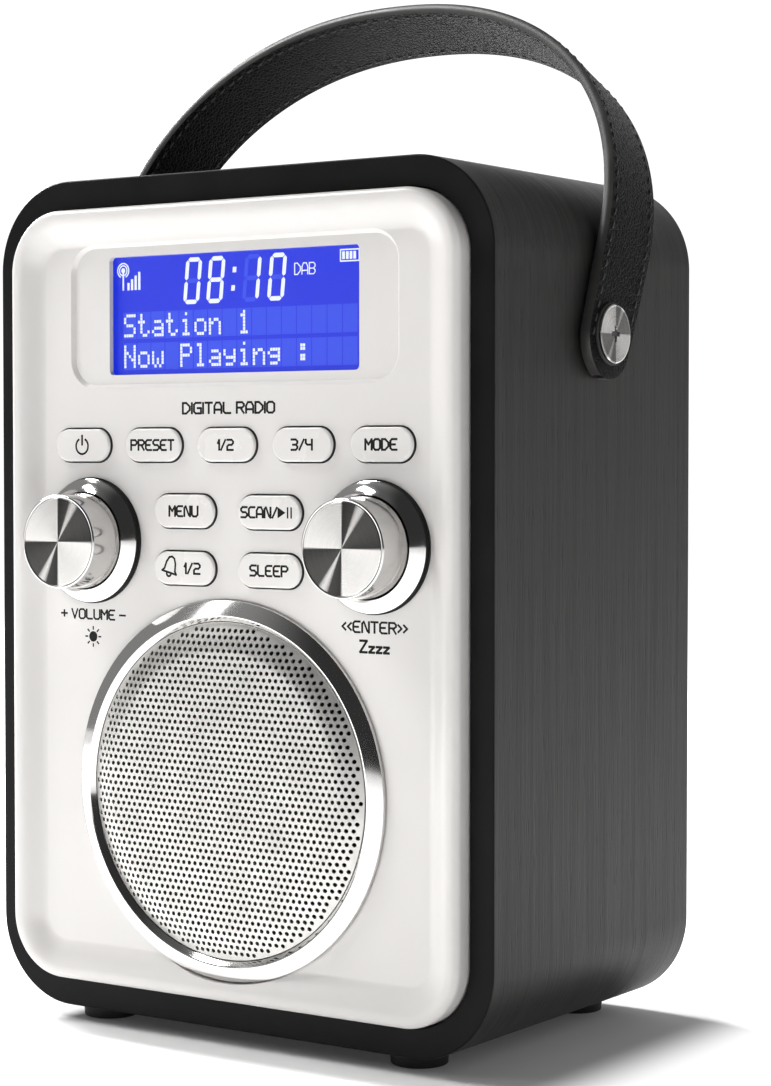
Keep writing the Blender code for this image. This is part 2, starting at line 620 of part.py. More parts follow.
def make_speaker():
    rise = SPEAKER_RISE
    seat = FIELD_DEPTH - GAP
    bore = GRILLE_RADIUS + GAP
    edge = GRILLE_RADIUS + RING_WIDTH
    ring = [
        (bore, RING_INNER_DEPTH + RING_CHAMFER), (bore + RING_CHAMFER, RING_INNER_DEPTH),
        (edge - RING_ROUND, RING_OUTER_DEPTH), (edge, RING_OUTER_DEPTH + RING_ROUND), (edge, seat),
        (bore + RING_SPIGOT, seat),
        (bore + RING_SPIGOT, FIELD_BACK), (bore, FIELD_BACK),
    ]
    finish(front_turned("speaker_ring", ring, 0, rise, FINEST), (0.60, 0.60, 0.61), 0.18, 1.0)

    flat = GRILLE_RADIUS - GRILLE_SLOPE
    skin = GRILLE_THICKNESS
    grille = [
        (0, GRILLE_FACE_DEPTH), (flat, GRILLE_FACE_DEPTH), (GRILLE_RADIUS, GRILLE_EDGE_DEPTH),
        (GRILLE_RADIUS, FIELD_BACK), (GRILLE_RADIUS - skin, FIELD_BACK),
        (GRILLE_RADIUS - skin, GRILLE_EDGE_DEPTH + skin), (flat, GRILLE_FACE_DEPTH + skin),
        (0, GRILLE_FACE_DEPTH + skin),
    ]
    finish(front_turned("speaker_grille", grille, 0, rise, FINEST), (0.70, 0.70, 0.70), 0.35, 1.0)

    frame = edge - FRAME_INSET
    lip = GRILLE_RADIUS + GASKET_ROOM
    gasket_front = FIELD_BACK + GAP
    gasket_back = gasket_front + GASKET_THICKNESS
    gasket = [(lip, gasket_front), (frame, gasket_front), (frame, gasket_back), (lip, gasket_back)]
    finish(front_turned("speaker_gasket", gasket, 0, rise, FINE), (0.03, 0.03, 0.03), 0.90)

    flange = gasket_back + GAP
    back = flange + BASKET_DEPTH
    mouth = CONE_RADIUS + BASKET_MOUTH
    hole = COIL_RADIUS + COIL_ROOM
    basket = [
        (mouth, flange), (frame, flange), (frame, flange + FLANGE_THICKNESS),
        (mouth + BASKET_WALL, flange + FLANGE_THICKNESS), (BASKET_REAR_RADIUS, back - BASKET_HEEL),
        (BASKET_REAR_RADIUS, back), (hole, back), (hole, back - BASKET_WALL),
        (BASKET_REAR_RADIUS - BASKET_WALL, back - BASKET_WALL), (BASKET_REAR_RADIUS - BASKET_WALL,
        back - BASKET_HEEL),
    ]
    finish(front_turned("speaker_basket", basket, 0, rise, FINE), (0.10, 0.10, 0.11), 0.50, 0.6)

    front = back + GAP
    end = front + MAGNET_LENGTH
    slot = COIL_RADIUS + MAGNET_SLOT
    magnet = [
        (slot, front), (MAGNET_RADIUS, front), (MAGNET_RADIUS, end), (0, end), (0, front - POLE_PROUD),
        (POLE_RADIUS, front - POLE_PROUD), (POLE_RADIUS, end - MAGNET_FLOOR), (slot, end - MAGNET_FLOOR),
    ]
    pole_first = magnet[4:] + magnet[:4]
    finish(front_turned("speaker_magnet", pole_first, 0, rise, FINE), (0.15, 0.15, 0.16), 0.50, 0.8)

    cone_front = flange + CONE_PAPER
    neck = back - CONE_NECK
    coil_end = end - MAGNET_FLOOR - CONE_TRAVEL - COIL_WALL
    cone = [
        (0, neck - 2 * DUST_CAP_RISE), (COIL_RADIUS + COIL_WALL, neck - DUST_CAP_RISE),
        (CONE_RADIUS - COIL_WALL, cone_front), (CONE_RADIUS, cone_front), (CONE_RADIUS,
        cone_front + CONE_PAPER),
        (COIL_RADIUS + COIL_WALL, neck), (COIL_RADIUS + COIL_WALL / 2, coil_end),
        (COIL_RADIUS - COIL_WALL / 2, coil_end), (COIL_RADIUS - COIL_WALL / 2, neck - COIL_WALL),
        (0, neck - DUST_CAP_RISE - COIL_WALL),
    ]
    finish(front_turned("speaker_cone", cone, 0, rise, FINE), (0.06, 0.06, 0.06), 0.80)

    inner = CONE_RADIUS + GAP
    outer = lip - GAP
    middle, half = (inner + outer) / 2, (outer - inner) / 2 - ROLL_LAND
    rest = flange - GAP
    skin = rest - ROLL_SKIN
    over = arc((middle, skin), (half, ROLL_HEIGHT), 180, 360, ROLL_STEPS)
    under = arc((middle, rest), (half - ROLL_SKIN, ROLL_HEIGHT), 0, -180, ROLL_STEPS)
    surround = [(inner, skin)] + over + [(outer, skin), (outer, rest)] + under + [(inner, rest)]
    finish(front_turned("speaker_surround", surround, 0, rise, FINE), (0.03, 0.03, 0.03), 0.70)


def make_back():
    middle = PANEL_HEIGHT / 2
    back = block_between(
        "back_panel", PANEL_WIDTH, (BACK_INNER, BACK_FACE), (MIDDLE_RISE - middle, MIDDLE_RISE + middle),
        corner=PANEL_CORNER, steps=8,
    )
    hollow = (BATTERY_WIDTH + 2 * TRAY_SPACE, BATTERY_HEIGHT + 2 * TRAY_SPACE)
    hollow_front = BACK_FACE - DOOR_THICKNESS - GAP - TRAY_SPACE - BATTERY_THICKNESS - GAP
    cell_rises = (BATTERY_RISE - hollow[1] / 2, BATTERY_RISE + hollow[1] / 2)
    boolean(back, block_between(
        "battery_tray", hollow[0] + 2 * TRAY_WALL, (hollow_front - TRAY_WALL, BACK_FACE - GAP),
        (cell_rises[0] - TRAY_WALL, cell_rises[1] + TRAY_WALL), helper=True,
    ), "UNION")
    board_rises = (MAIN_BOARD_RISE - MAIN_BOARD_HEIGHT / 2, MAIN_BOARD_RISE + MAIN_BOARD_HEIGHT / 2)
    board_back = BACK_INNER - STANDOFF_LENGTH
    for x in (-1, 1):
        for end in board_rises:
            inward = 1 if end == board_rises[0] else -1
            profile = [(0, BACK_INNER + GAP), (STANDOFF_RADIUS, BACK_INNER + GAP),
                       (STANDOFF_RADIUS, board_back + GAP), (0, board_back + GAP)]
            boolean(back, rear_turned(
                f"standoff_{x}_{inward}", profile, x * (MAIN_BOARD_WIDTH / 2 - 2 * STANDOFF_RADIUS),
                end + inward * 2 * STANDOFF_RADIUS, COARSE, helper=True,
            ), "UNION")
    mast_side = AERIAL_SIDE - AERIAL_LENGTH + 2 * REST_SIZE
    rest_top = CABINET_HEIGHT - AERIAL_DROP - AERIAL_RADII[0] - GAP
    boolean(back, block_between(
        "aerial_rest", REST_SIZE, (BACK_INNER + GAP, MAST_DEPTH), (rest_top - REST_SIZE / 2, rest_top),
        x=mast_side, helper=True,
    ), "UNION")
    boolean(back, block_between(
        "battery_hollow", hollow[0], (hollow_front, BACK_FACE + GAP), cell_rises, helper=True,
    ))
    door = (hollow[0] + 2 * DOOR_LAP, cell_rises[0] - DOOR_LAP, cell_rises[1] + DOOR_LAP)
    boolean(back, block_between(
        "door_step", door[0] + 2 * GAP, (BACK_FACE - DOOR_THICKNESS - GAP, BACK_FACE + GAP),
        (door[1] - GAP, door[2] + GAP), corner=DOOR_LAP, steps=3, helper=True,
    ))
    for x, rise, tag in corner_places(BACK_SCREW_INSET):
        boolean(back, rear_hole(f"back_screw_hole_{tag}", SCREW_RADIUS + GAP, x, rise))
    for name, x in (("power", POWER_JACK_SIDE), ("headphone", HEADPHONE_JACK_SIDE)):
        boolean(back, rear_hole(f"{name}_hole", JACK_RADIUS + GAP, x, JACK_RISE))
    boolean(back, rear_hole("aerial_hole", PIN_RADIUS + 2 * GAP, AERIAL_SIDE, CABINET_HEIGHT - AERIAL_DROP))
    finish(back, (0.04, 0.04, 0.04), 0.55)

    lid = block_between(
        "battery_door", door[0], (BACK_FACE - DOOR_THICKNESS, BACK_FACE), (door[1], door[2]),
        corner=DOOR_LAP, steps=3,
    )
    finish(lid, (0.04, 0.04, 0.04), 0.55)
    pack = block_between(
        "battery_pack", BATTERY_WIDTH, (hollow_front + GAP, hollow_front + GAP + BATTERY_THICKNESS),
        (BATTERY_RISE - BATTERY_HEIGHT / 2, BATTERY_RISE + BATTERY_HEIGHT / 2),
        corner=BATTERY_THICKNESS / 3, along="X", steps=4,
    )
    finish(pack, (0.05, 0.10, 0.35), 0.40)

    board = block_between(
        "main_board", MAIN_BOARD_WIDTH, (board_back - BOARD_THICKNESS, board_back), board_rises,
    )
    boolean(board, block_between(
        "tuner_can", CAN_SIZE, (board_back - BOARD_THICKNESS - CAN_HEIGHT, board_back - BOARD_THICKNESS / 2),
        (MAIN_BOARD_RISE - CAN_SIZE / 2, MAIN_BOARD_RISE + CAN_SIZE / 2), helper=True,
    ), "UNION")
    finish(board, (0.02, 0.16, 0.07), 0.50)

    for x, rise, tag in corner_places(BACK_SCREW_INSET):
        head = BACK_FACE + GAP
        screw = [(0, head + SCREW_HEAD_HEIGHT), (SCREW_HEAD_RADIUS * 0.7, head + SCREW_HEAD_HEIGHT),
                 (SCREW_HEAD_RADIUS, head + SCREW_HEAD_HEIGHT / 3), (SCREW_HEAD_RADIUS, head),
                 (SCREW_RADIUS, head), (SCREW_RADIUS, BACK_FACE - SCREW_LENGTH), (0,
                 BACK_FACE - SCREW_LENGTH)]
        finish(rear_turned(f"back_screw_{tag}", screw, x, rise, COARSE), (0.25, 0.25, 0.26), 0.40, 1.0)
    make_jack("power_jack", POWER_JACK_SIDE, POWER_JACK_BORE)
    make_jack("headphone_jack", HEADPHONE_JACK_SIDE, HEADPHONE_JACK_BORE)


def rear_hole(name, radius, x, rise):
    profile = [(0, BACK_FACE + GAP), (radius, BACK_FACE + GAP), (radius, BACK_INNER - GAP), (0,
        BACK_INNER - GAP)]
    return rear_turned(name, profile, x, rise, COARSE, helper=True)


def make_jack(name, x, bore):
    end = BACK_FACE - JACK_LENGTH
    profile = [
        (bore, BACK_FACE), (JACK_RADIUS, BACK_FACE), (JACK_RADIUS, end), (0, end), (0,
        end + JACK_FLOOR), (bore, end + JACK_FLOOR),
    ]
    solid_first = profile[4:] + profile[:4]
    finish(rear_turned(name, solid_first, x, JACK_RISE, COARSE), (0.03, 0.03, 0.03), 0.45)


def make_aerial():
    rise = CABINET_HEIGHT - AERIAL_DROP
    pivot = at(AERIAL_SIDE, MAST_DEPTH, rise)
    seat = BACK_FACE + GAP
    disc = [(0, seat + BASE_THICKNESS), (BASE_RADIUS, seat + BASE_THICKNESS), (BASE_RADIUS, seat),
            (PIN_RADIUS + GAP, seat), (PIN_RADIUS + GAP, BACK_INNER), (0, BACK_INNER)]
    base = rear_turned("aerial_base", disc, AERIAL_SIDE, rise, COARSE)
    inside = AERIAL_RADII[0] * 0.8 + GAP
    for sign in (-1, 1):
        ear = block_between(
            f"aerial_ear_{sign}", 2 * EAR_RADIUS, (seat + BASE_THICKNESS / 2, REAR_END),
            (rise + sign * inside - EAR_THICKNESS / 2 + sign * EAR_THICKNESS / 2,
             rise + sign * inside + EAR_THICKNESS / 2 + sign * EAR_THICKNESS / 2),
            x=AERIAL_SIDE, corner=EAR_RADIUS - ROUND, along="Z", steps=4, helper=True,
        )
        boolean(base, ear, "UNION")
    reach = inside + EAR_THICKNESS / 2
    pin = [(0, reach), (PIN_RADIUS, reach), (PIN_RADIUS, -reach), (0, -reach)]
    boolean(base, turned("aerial_pin", pin, pivot, UPWARDS, COARSE, helper=True), "UNION")
    finish(base, (0.60, 0.60, 0.61), 0.25, 1.0)

    hinge = bpy.data.objects.new("aerial_hinge", None)
    radio.objects.link(hinge)
    hinge.location = pivot
    hinge.rotation_euler = LEFTWARDS
    outer = AERIAL_RADII[0]
    end = AERIAL_LENGTH
    tube = turned(
        "aerial_tube_1", tube_profile(outer, TUBE_ROOT - TUBE_FLOOR, end), (0, 0, 0), UPWARDS, COARSE,
    )
    tube.parent = hinge
    root = block(
        "aerial_root", (2 * outer * ROOT_FLAT, 2 * outer, TUBE_ROOT + outer), (0, 0, (TUBE_ROOT - outer) / 2),
        corner=outer - ROUND, along="X", helper=True,
    )
    root.parent = hinge
    boolean(tube, root, "UNION")
    eye = turned("aerial_eye", [(0, outer), (PIN_RADIUS + GAP, outer), (PIN_RADIUS + GAP, -outer), (0,
        -outer)],
                 (0, 0, 0), RIGHTWARDS, COARSE, helper=True)
    eye.parent = hinge
    boolean(tube, eye)
    finish(tube, (0.75, 0.75, 0.76), 0.15, 1.0)
    start = TUBE_ROOT
    for number in (2, 3):
        start += TUBE_FLOOR + GAP
        end += AERIAL_STEP
        piece = turned(
            f"aerial_tube_{number}", tube_profile(AERIAL_RADII[number - 1], start, end), (0, 0, 0),
            UPWARDS, 16,
        )
        piece.parent = hinge
        finish(piece, (0.75, 0.75, 0.76), 0.15, 1.0)
    rod = AERIAL_RADII[3]
    knob = outer * 0.9
    start += TUBE_FLOOR + GAP
    end += GAP
    tip = [(0, end + TIP_LENGTH), (knob - TIP_ROUND, end + TIP_LENGTH), (knob,
        end + TIP_LENGTH - TIP_ROUND), (knob, end), (rod, end),
           (rod, start), (0, start)]
    tip_piece = turned("aerial_tip", tip, (0, 0, 0), UPWARDS, 16)
    tip_piece.parent = hinge
    finish(tip_piece, (0.75, 0.75, 0.76), 0.15, 1.0)


def tube_profile(radius, start, end):
    """An aerial tube, closed at its root and open at its tip."""
    bore = radius - AERIAL_WALL
    floor = start + TUBE_FLOOR
    return [(0, floor), (bore, floor), (bore, end), (radius, end), (radius, start), (0, start)]


def strap_path():
    """The strap's middle line seen from the front: (x, distance from the screws' axis)."""
    half = STRAP_OUTER - STRAP_THICKNESS / 2
    rise = STRAP_REACH - STRAP_THICKNESS / 2 - STRAP_STRAIGHT
    foot = -STRAP_WIDTH / 2 - GAP
    arch = []
    for step in range(STRAP_STEPS + 1):
        angle = math.pi * step / STRAP_STEPS
        across = math.copysign(abs(math.cos(angle)) ** (2 / STRAP_FULLNESS), math.cos(angle))
        up = max(math.sin(angle), 0) ** (2 / STRAP_FULLNESS)
        arch.append((half * across, STRAP_STRAIGHT + rise * up))
    return [(half, foot), (half, 0.0)] + arch + [(-half, 0.0), (-half, foot)]


def make_strap():
    """The strap is drawn upright about the screws' axis and leant back as it stands."""
    line = bpy.data.curves.new("strap_line", "CURVE")
    line.dimensions = "2D"
    line.fill_mode = "NONE"
    line.extrude = STRAP_WIDTH / 2 + GAP
    path = strap_path()
    spline = line.splines.new("POLY")
    spline.points.add(len(path) - 1)
    for point, (x, up) in zip(spline.points, path):
        point.co = (x, up, 0, 1)
    guide = bpy.data.objects.new("strap_guide", line)
    cutters.objects.link(guide)
    bpy.context.view_layer.update()
    mesh = bpy.data.meshes.new_from_object(guide.evaluated_get(bpy.context.evaluated_depsgraph_get()))
    bpy.data.objects.remove(guide)
    mesh.name = "handle_strap"
    lean = (math.radians(90) - STRAP_LEAN, 0, 0)
    pivot = at(0, MID_DEPTH, CABINET_HEIGHT - STRAP_DROP)
    strap = add_object("handle_strap", mesh, pivot, lean)
    solidify = strap.modifiers.new("Leather", "SOLIDIFY")
    solidify.thickness = STRAP_THICKNESS
    solidify.offset = 0
    tall = STRAP_REACH + STRAP_WIDTH * 1.5
    outline = block(
        "strap_outline", (2 * STRAP_OUTER + 0.01, tall, STRAP_WIDTH), (0, 0, 0),
        corner=STRAP_WIDTH / 2 - ROUND,
        along="X", helper=True,
    )
    for vertex in outline.data.vertices:
        vertex.co.y += tall / 2 - STRAP_WIDTH / 2
    outline.location = pivot
    outline.rotation_euler = lean
    boolean(strap, outline, "INTERSECT")
    boolean(strap, side_cylinder("strap_hole", STUD_RADIUS + GAP, STRAP_OUTER + 0.01))
    finish(strap, (0.02, 0.02, 0.02), 0.50)

    rise = CABINET_HEIGHT - STRAP_DROP
    washer_foot = STRAP_OUTER + CLOSE
    head_foot = washer_foot + STUD_WASHER + CLOSE
    bore = STUD_RADIUS + CLOSE
    insert = bore + INSERT_WALL
    wall_out = CABINET_WIDTH / 2
    wall_in = wall_out - SIDE_WALL
    for side, turn in (("left", LEFTWARDS), ("right", RIGHTWARDS)):
        place = at(0, MID_DEPTH, rise)
        washer = [(bore, washer_foot + STUD_WASHER), (STUD_WASHER_RADIUS, washer_foot + STUD_WASHER),
                  (STUD_WASHER_RADIUS, washer_foot), (bore, washer_foot)]
        finish(turned(f"strap_washer_{side}", washer, place, turn, COARSE), (0.02, 0.02, 0.02), 0.60)
        stud = [(0, head_foot + STUD_HEAD), (STUD_HEAD_RADIUS - EDGE_BREAK, head_foot + STUD_HEAD),
                (STUD_HEAD_RADIUS, head_foot + STUD_HEAD - EDGE_BREAK), (STUD_HEAD_RADIUS, head_foot),
                (STUD_RADIUS, head_foot), (STUD_RADIUS, wall_in), (0, wall_in)]
        finish(turned(f"strap_screw_{side}", stud, place, turn, FINE), (0.75, 0.75, 0.74), 0.22, 1.0)
        thread = [(bore, wall_out), (insert, wall_out), (insert, wall_in), (bore, wall_in)]
        finish(turned(f"strap_insert_{side}", thread, place, turn, COARSE), (0.70, 0.50, 0.20), 0.35, 1.0)


clear_scene()
radio = new_collection("portable_radio")
cutters = new_collection("cutters", helpers=True)
make_cabinet()
make_front_panel()
make_display()
make_buttons()
make_control_board()
make_knob("volume", -KNOB_SIDE)
make_knob("enter", KNOB_SIDE)
make_speaker()
make_back()
make_aerial()
make_strap()
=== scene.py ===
import math

import bmesh
import bpy
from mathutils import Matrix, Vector


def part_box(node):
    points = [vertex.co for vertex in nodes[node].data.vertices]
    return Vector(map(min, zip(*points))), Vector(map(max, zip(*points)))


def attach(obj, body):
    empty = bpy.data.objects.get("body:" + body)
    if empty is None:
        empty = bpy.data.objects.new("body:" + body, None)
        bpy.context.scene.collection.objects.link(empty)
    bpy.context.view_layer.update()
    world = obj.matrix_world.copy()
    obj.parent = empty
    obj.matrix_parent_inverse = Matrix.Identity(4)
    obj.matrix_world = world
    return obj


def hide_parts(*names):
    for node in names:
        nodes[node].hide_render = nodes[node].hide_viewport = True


mm = 0.001

print("radio: loading the frame")
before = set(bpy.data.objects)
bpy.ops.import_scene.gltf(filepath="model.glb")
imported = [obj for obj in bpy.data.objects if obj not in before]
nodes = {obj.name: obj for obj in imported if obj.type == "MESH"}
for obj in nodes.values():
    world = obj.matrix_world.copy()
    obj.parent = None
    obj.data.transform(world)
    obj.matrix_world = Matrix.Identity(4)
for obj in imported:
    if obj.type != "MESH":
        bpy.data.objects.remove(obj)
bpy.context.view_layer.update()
cabinetLow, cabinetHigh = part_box("cabinet_shell")
frontEdge = cabinetLow.y  # the cabinet's front edge; "depth" is measured back from it, in mm
underside = cabinetLow.z  # "rise" is measured up from it, in mm
cabinetWide = (cabinetHigh.x - cabinetLow.x) / mm
cabinetDeep = (cabinetHigh.y - cabinetLow.y) / mm
cabinetTall = (cabinetHigh.z - cabinetLow.z) / mm


def at(x, depth, rise):
    return Vector((x * mm, frontEdge + depth * mm, underside + rise * mm))


def middleOf(node):
    # (x, depth, rise) of the middle of a node's box, and its size, all in mm
    low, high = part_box(node)
    middle = (low + high) / 2
    size = (high - low) / mm
    return (middle.x / mm, (middle.y - frontEdge) / mm, (middle.z - underside) / mm), size


# ---- working in object and edit mode


def workOn(piece):
    if bpy.context.mode != "OBJECT":
        bpy.ops.object.mode_set(mode="OBJECT")
    bpy.ops.object.select_all(action="DESELECT")
    piece.select_set(True)
    bpy.context.view_layer.objects.active = piece


def editMode(mode="FACE"):
    bpy.ops.object.mode_set(mode="EDIT")
    bpy.ops.mesh.select_mode(type=mode)


def objectMode():
    bpy.ops.object.mode_set(mode="OBJECT")


def selectWhere(kind, test):
    # selects the verts, edges or faces of the mesh in edit mode that pass the test
    bpy.ops.mesh.select_mode(type={"verts": "VERT", "edges": "EDGE", "faces": "FACE"}[kind])
    bpy.ops.mesh.select_all(action="DESELECT")
    data = bpy.context.object.data
    mesh = bmesh.from_edit_mesh(data)
    for element in getattr(mesh, kind):
        if test(element):
            element.select_set(True)
    mesh.select_flush_mode()
    bmesh.update_edit_mesh(data)


def named(name):
    piece = bpy.context.object
    piece.name = name
    piece.data.name = name
    return piece


def newPiece(name, data):
    piece = bpy.data.objects.new(name, data)
    bpy.context.scene.collection.objects.link(piece)
    return piece


def meshPiece(name, mesh):
    # a piece from a finished bmesh
    data = bpy.data.meshes.new(name)
    mesh.to_mesh(data)
    mesh.free()
    return newPiece(name, data)


def evenNormals():
    # in edit mode
    bpy.ops.mesh.select_all(action="SELECT")
    bpy.ops.mesh.normals_make_consistent(inside=False)


def modify(piece, kind, **settings):
    # one modifier, added and applied
    modifier = piece.modifiers.new("Shaping", kind)
    for key, value in settings.items():
        setattr(modifier, key, value)
    workOn(piece)
    bpy.ops.object.modifier_apply(modifier=modifier.name)


def soften(piece, width, segments=2, angle=35):
    # rounds the sharp edges, width in mm
    limit = math.radians(angle)
    modify(piece, "BEVEL", width=width * mm, segments=segments, limit_method="ANGLE", angle_limit=limit)


def combine(piece, tool, operation="DIFFERENCE"):
    modify(piece, "BOOLEAN", operation=operation, solver="EXACT", object=tool)
    bpy.data.objects.remove(tool, do_unlink=True)


def hand(piece, body, material, replaced=None, angle=35, weighted=True):
    # a finished piece gets its shading, its finish and the body it rides on
    workOn(piece)
    bpy.ops.object.shade_smooth_by_angle(angle=math.radians(angle))
    if weighted:
        modify(piece, "WEIGHTED_NORMAL", keep_sharp=True)
    if material:
        finishWith(piece, material)
    if replaced:
        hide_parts(replaced)
    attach(piece, body)
    return piece


def finishWith(piece, material):
    piece.data.materials.clear()
    piece.data.materials.append(material)


def paintWhere(piece, material, test):
    # a second finish on the faces that pass the test
    piece.data.materials.append(material)
    for polygon in piece.data.polygons:
        polygon.material_index = 1 if test(polygon) else 0


# ---- shapes


def block(name, size, centre, corner=0.0, segments=16, along="Y"):
    # a box in mm, with the four edges along one axis rounded
    bpy.ops.mesh.primitive_cube_add(size=1, location=at(*centre), scale=Vector(size) * mm)
    piece = named(name)
    bpy.ops.object.transform_apply()
    if corner:
        axis = "XYZ".index(along)
        editMode("EDGE")
        selectWhere("edges", lambda e: abs((e.verts[0].co - e.verts[1].co).normalized()[axis]) > 0.99)
        bpy.ops.mesh.bevel(offset=corner * mm, segments=segments, affect="EDGES")
        objectMode()
    return piece


def stepFace(piece, facing, steps):
    # insets the widest face that looks the given way, step by step: (inset, rise) in mm
    workOn(piece)
    editMode()
    mesh = bmesh.from_edit_mesh(piece.data)
    way = Vector(facing)
    looking = [f for f in mesh.faces if f.normal.dot(way) > 0.99]
    widest = max(f.calc_area() for f in looking)
    selectWhere("faces", lambda f: f.normal.dot(way) > 0.99 and f.calc_area() > widest * 0.98)
    for inset, rise in steps:
        bpy.ops.mesh.inset(thickness=inset * mm, depth=rise * mm, use_even_offset=True)
    objectMode()


def stepsThrough(places):
    return [(b[0] - a[0], b[1] - a[1]) for a, b in zip(places, places[1:])]


def roundSteps(radius, count):
    # the steps of a quarter round, from the side towards the face
    angles = [math.pi / 2 * i / count for i in range(count + 1)]
    return stepsThrough([(radius * (1 - math.cos(a)), radius * math.sin(a)) for a in angles])


def swellSteps(inset, rise, count):
    # the steps of a soft S from one level to another
    shares = [i / count for i in range(count + 1)]
    return stepsThrough([(inset * t, rise * t * t * (3 - 2 * t)) for t in shares])


axisTurns = {"X": (0, math.pi / 2, 0), "Y": (math.pi / 2, 0, 0), "Z": (0, 0, 0)}


def turned(name, centre, profile, sides=64, along="Y", closed=False):
    # a lathe piece: a ring is extruded and resized from point to point of the profile, which is
    # (radius, distance along the axis) in mm. A closed profile is a ring with a bore
    axis = "XYZ".index(along)
    way = Vector([1 if i == axis else 0 for i in range(3)])
    origin = at(*centre)
    radius, place = profile[0]
    bpy.ops.mesh.primitive_circle_add(
        vertices=sides, radius=radius * mm, location=origin + way * place * mm, rotation=axisTurns[along],
    )
    piece = named(name)
    bpy.ops.object.transform_apply()
    editMode("VERT")
    bpy.ops.mesh.select_all(action="SELECT")
    if not closed:
        bpy.ops.mesh.edge_face_add()
        selectWhere("edges", lambda e: True)
    for nextRadius, nextPlace in profile[1:] + ([profile[0]] if closed else []):
        move = way * (nextPlace - place) * mm
        bpy.ops.mesh.extrude_edges_move(TRANSFORM_OT_translate={"value": move, "orient_type": "GLOBAL"})
        if nextRadius != radius:
            scale = [nextRadius / radius] * 3
            scale[axis] = 1
            here = origin + way * nextPlace * mm
            bpy.ops.transform.resize(value=scale, orient_type="GLOBAL", center_override=here)
        radius, place = nextRadius, nextPlace
    if not closed:
        bpy.ops.mesh.edge_face_add()
    bpy.ops.mesh.select_all(action="SELECT")
    bpy.ops.mesh.remove_doubles(threshold=0.002 * mm)
    bpy.ops.mesh.normals_make_consistent(inside=False)
    objectMode()
    return piece


def arc(centre, radii, start, end, count):
    # points of an arc in a profile, angles in degrees
    angles = [math.radians(start + (end - start) * i / count) for i in range(count + 1)]
    return [(centre[0] + radii[0] * math.cos(a), centre[1] + radii[1] * math.sin(a)) for a in angles]


def plates(name, outlines, depth, thick=0.02):
    # flat printed or lit shapes that face the front: outlines of (x, rise) in mm
    mesh = bmesh.new()
    for outline in outlines:
        mesh.faces.new([mesh.verts.new(at(x, depth, rise)) for x, rise in outline])
    piece = meshPiece(name, mesh)
    workOn(piece)
    editMode()
    evenNormals()
    bpy.ops.mesh.extrude_region_move(TRANSFORM_OT_translate={"value": (0, -thick * mm, 0)})
    evenNormals()
    objectMode()
    return piece


def oblong(x, rise, wide, tall, slant=0.0):
    half, up = wide / 2, tall / 2
    corners = [(-half, -up), (half, -up), (half, up), (-half, up)]
    return [(x + a + slant * b, rise + b) for a, b in corners]


def disc(x, rise, radius, count=24):
    return [(x + a, rise + b) for a, b in arc((0, 0), (radius, radius), 0, 360 - 360 / count, count - 1)]


# ---- lettering, drawn with strokes on a grid four wide and six high

strokes = {
    "A": "00-04-16-36-44-40 02-42", "B": "00-06-36-45-44-33-03 33-42-41-30-00", "C": "46-16-05-01-10-40",
    "D": "00-06-26-44-42-20-00", "E": "46-16-05-01-10-40 03-33", "F": "00-06-46 03-33",
    "G": "46-16-05-01-10-40-43-23", "I": "00-06", "K": "00-06 46-13-03 13-40", "L": "06-01-10-40",
    "M": "00-06-23-46-40", "N": "00-05-16-31-40-46", "O": "10-01-05-16-36-45-41-30-10",
    "P": "00-06-36-45-44-33-03", "R": "00-06-36-45-44-33-03 23-40", "S": "46-16-05-04-13-33-42-41-30-00",
    "T": "06-46 26-20", "U": "06-01-10-30-41-46", "V": "06-20-46", "Z": "06-46-00-40", "z": "03-33-00-30",
    "0": "10-01-05-16-36-45-41-30-10", "1": "04-16-10", "2": "06-36-45-44-33-13-02-00-40",
    "3": "06-36-45-44-33-13 33-42-41-30-00", "4": "06-04-13-43 46-40", "/": "00-36", "+": "03-43 21-25",
    "-": "03-43", "<": "25-03-21", ">": "05-23-01", " ": "",
}


def strokeMesh(name, lines, weight, depth):
    # lines of (x, rise) in mm become flattened ribbons of ink on the surface at that depth
    curve = bpy.data.curves.new(name, "CURVE")
    curve.dimensions = "3D"
    curve.bevel_depth = weight / 2 * mm
    curve.bevel_resolution = 1
    curve.use_fill_caps = True
    for line in lines:
        for (ax, ar), (bx, br) in zip(line, line[1:]):
            # each run reaches a little past its corners, so that the corners are full
            reach = 0.3 * weight / math.hypot(bx - ax, br - ar)
            dx, dr = (bx - ax) * reach, (br - ar) * reach
            spline = curve.splines.new("POLY")
            spline.points.add(1)
            spline.points[0].co = ((ax - dx) * mm, 0, (ar - dr) * mm, 1)
            spline.points[1].co = ((bx + dx) * mm, 0, (br + dr) * mm, 1)
    workOn(newPiece(name, curve))
    bpy.ops.object.convert(target="MESH")
    piece = named(name)
    piece.scale = (1, 0.12, 1)
    piece.location = at(0, depth, 0)
    bpy.ops.object.transform_apply()
    return piece


def wordLines(text, x, rise, tall, stretch=1.10, gap=1.25):
    # the strokes of a word centred on (x, rise)
    unit = tall / 6
    lines, pen = [], 0.0
    for letter in text:
        paths = [p.split("-") for p in strokes[letter].split()]
        wide = max([int(p[0]) for path in paths for p in path], default=1)
        for path in paths:
            lines.append([((pen + int(p[0])) * unit * stretch, (int(p[1]) - 3) * unit) for p in path])
        pen += wide + gap
    shift = x - (pen - gap) * unit * stretch / 2
    return [[(a + shift, b + rise) for a, b in line] for line in lines]


def circleLine(x, rise, radius, start=0, end=360, count=20):
    line = [(x + a, rise + b) for a, b in arc((0, 0), (radius, radius), start, end, count)]
    if end - start == 360:
        line[-1] = line[0]
    return line


# ---- node groups that several finishes share


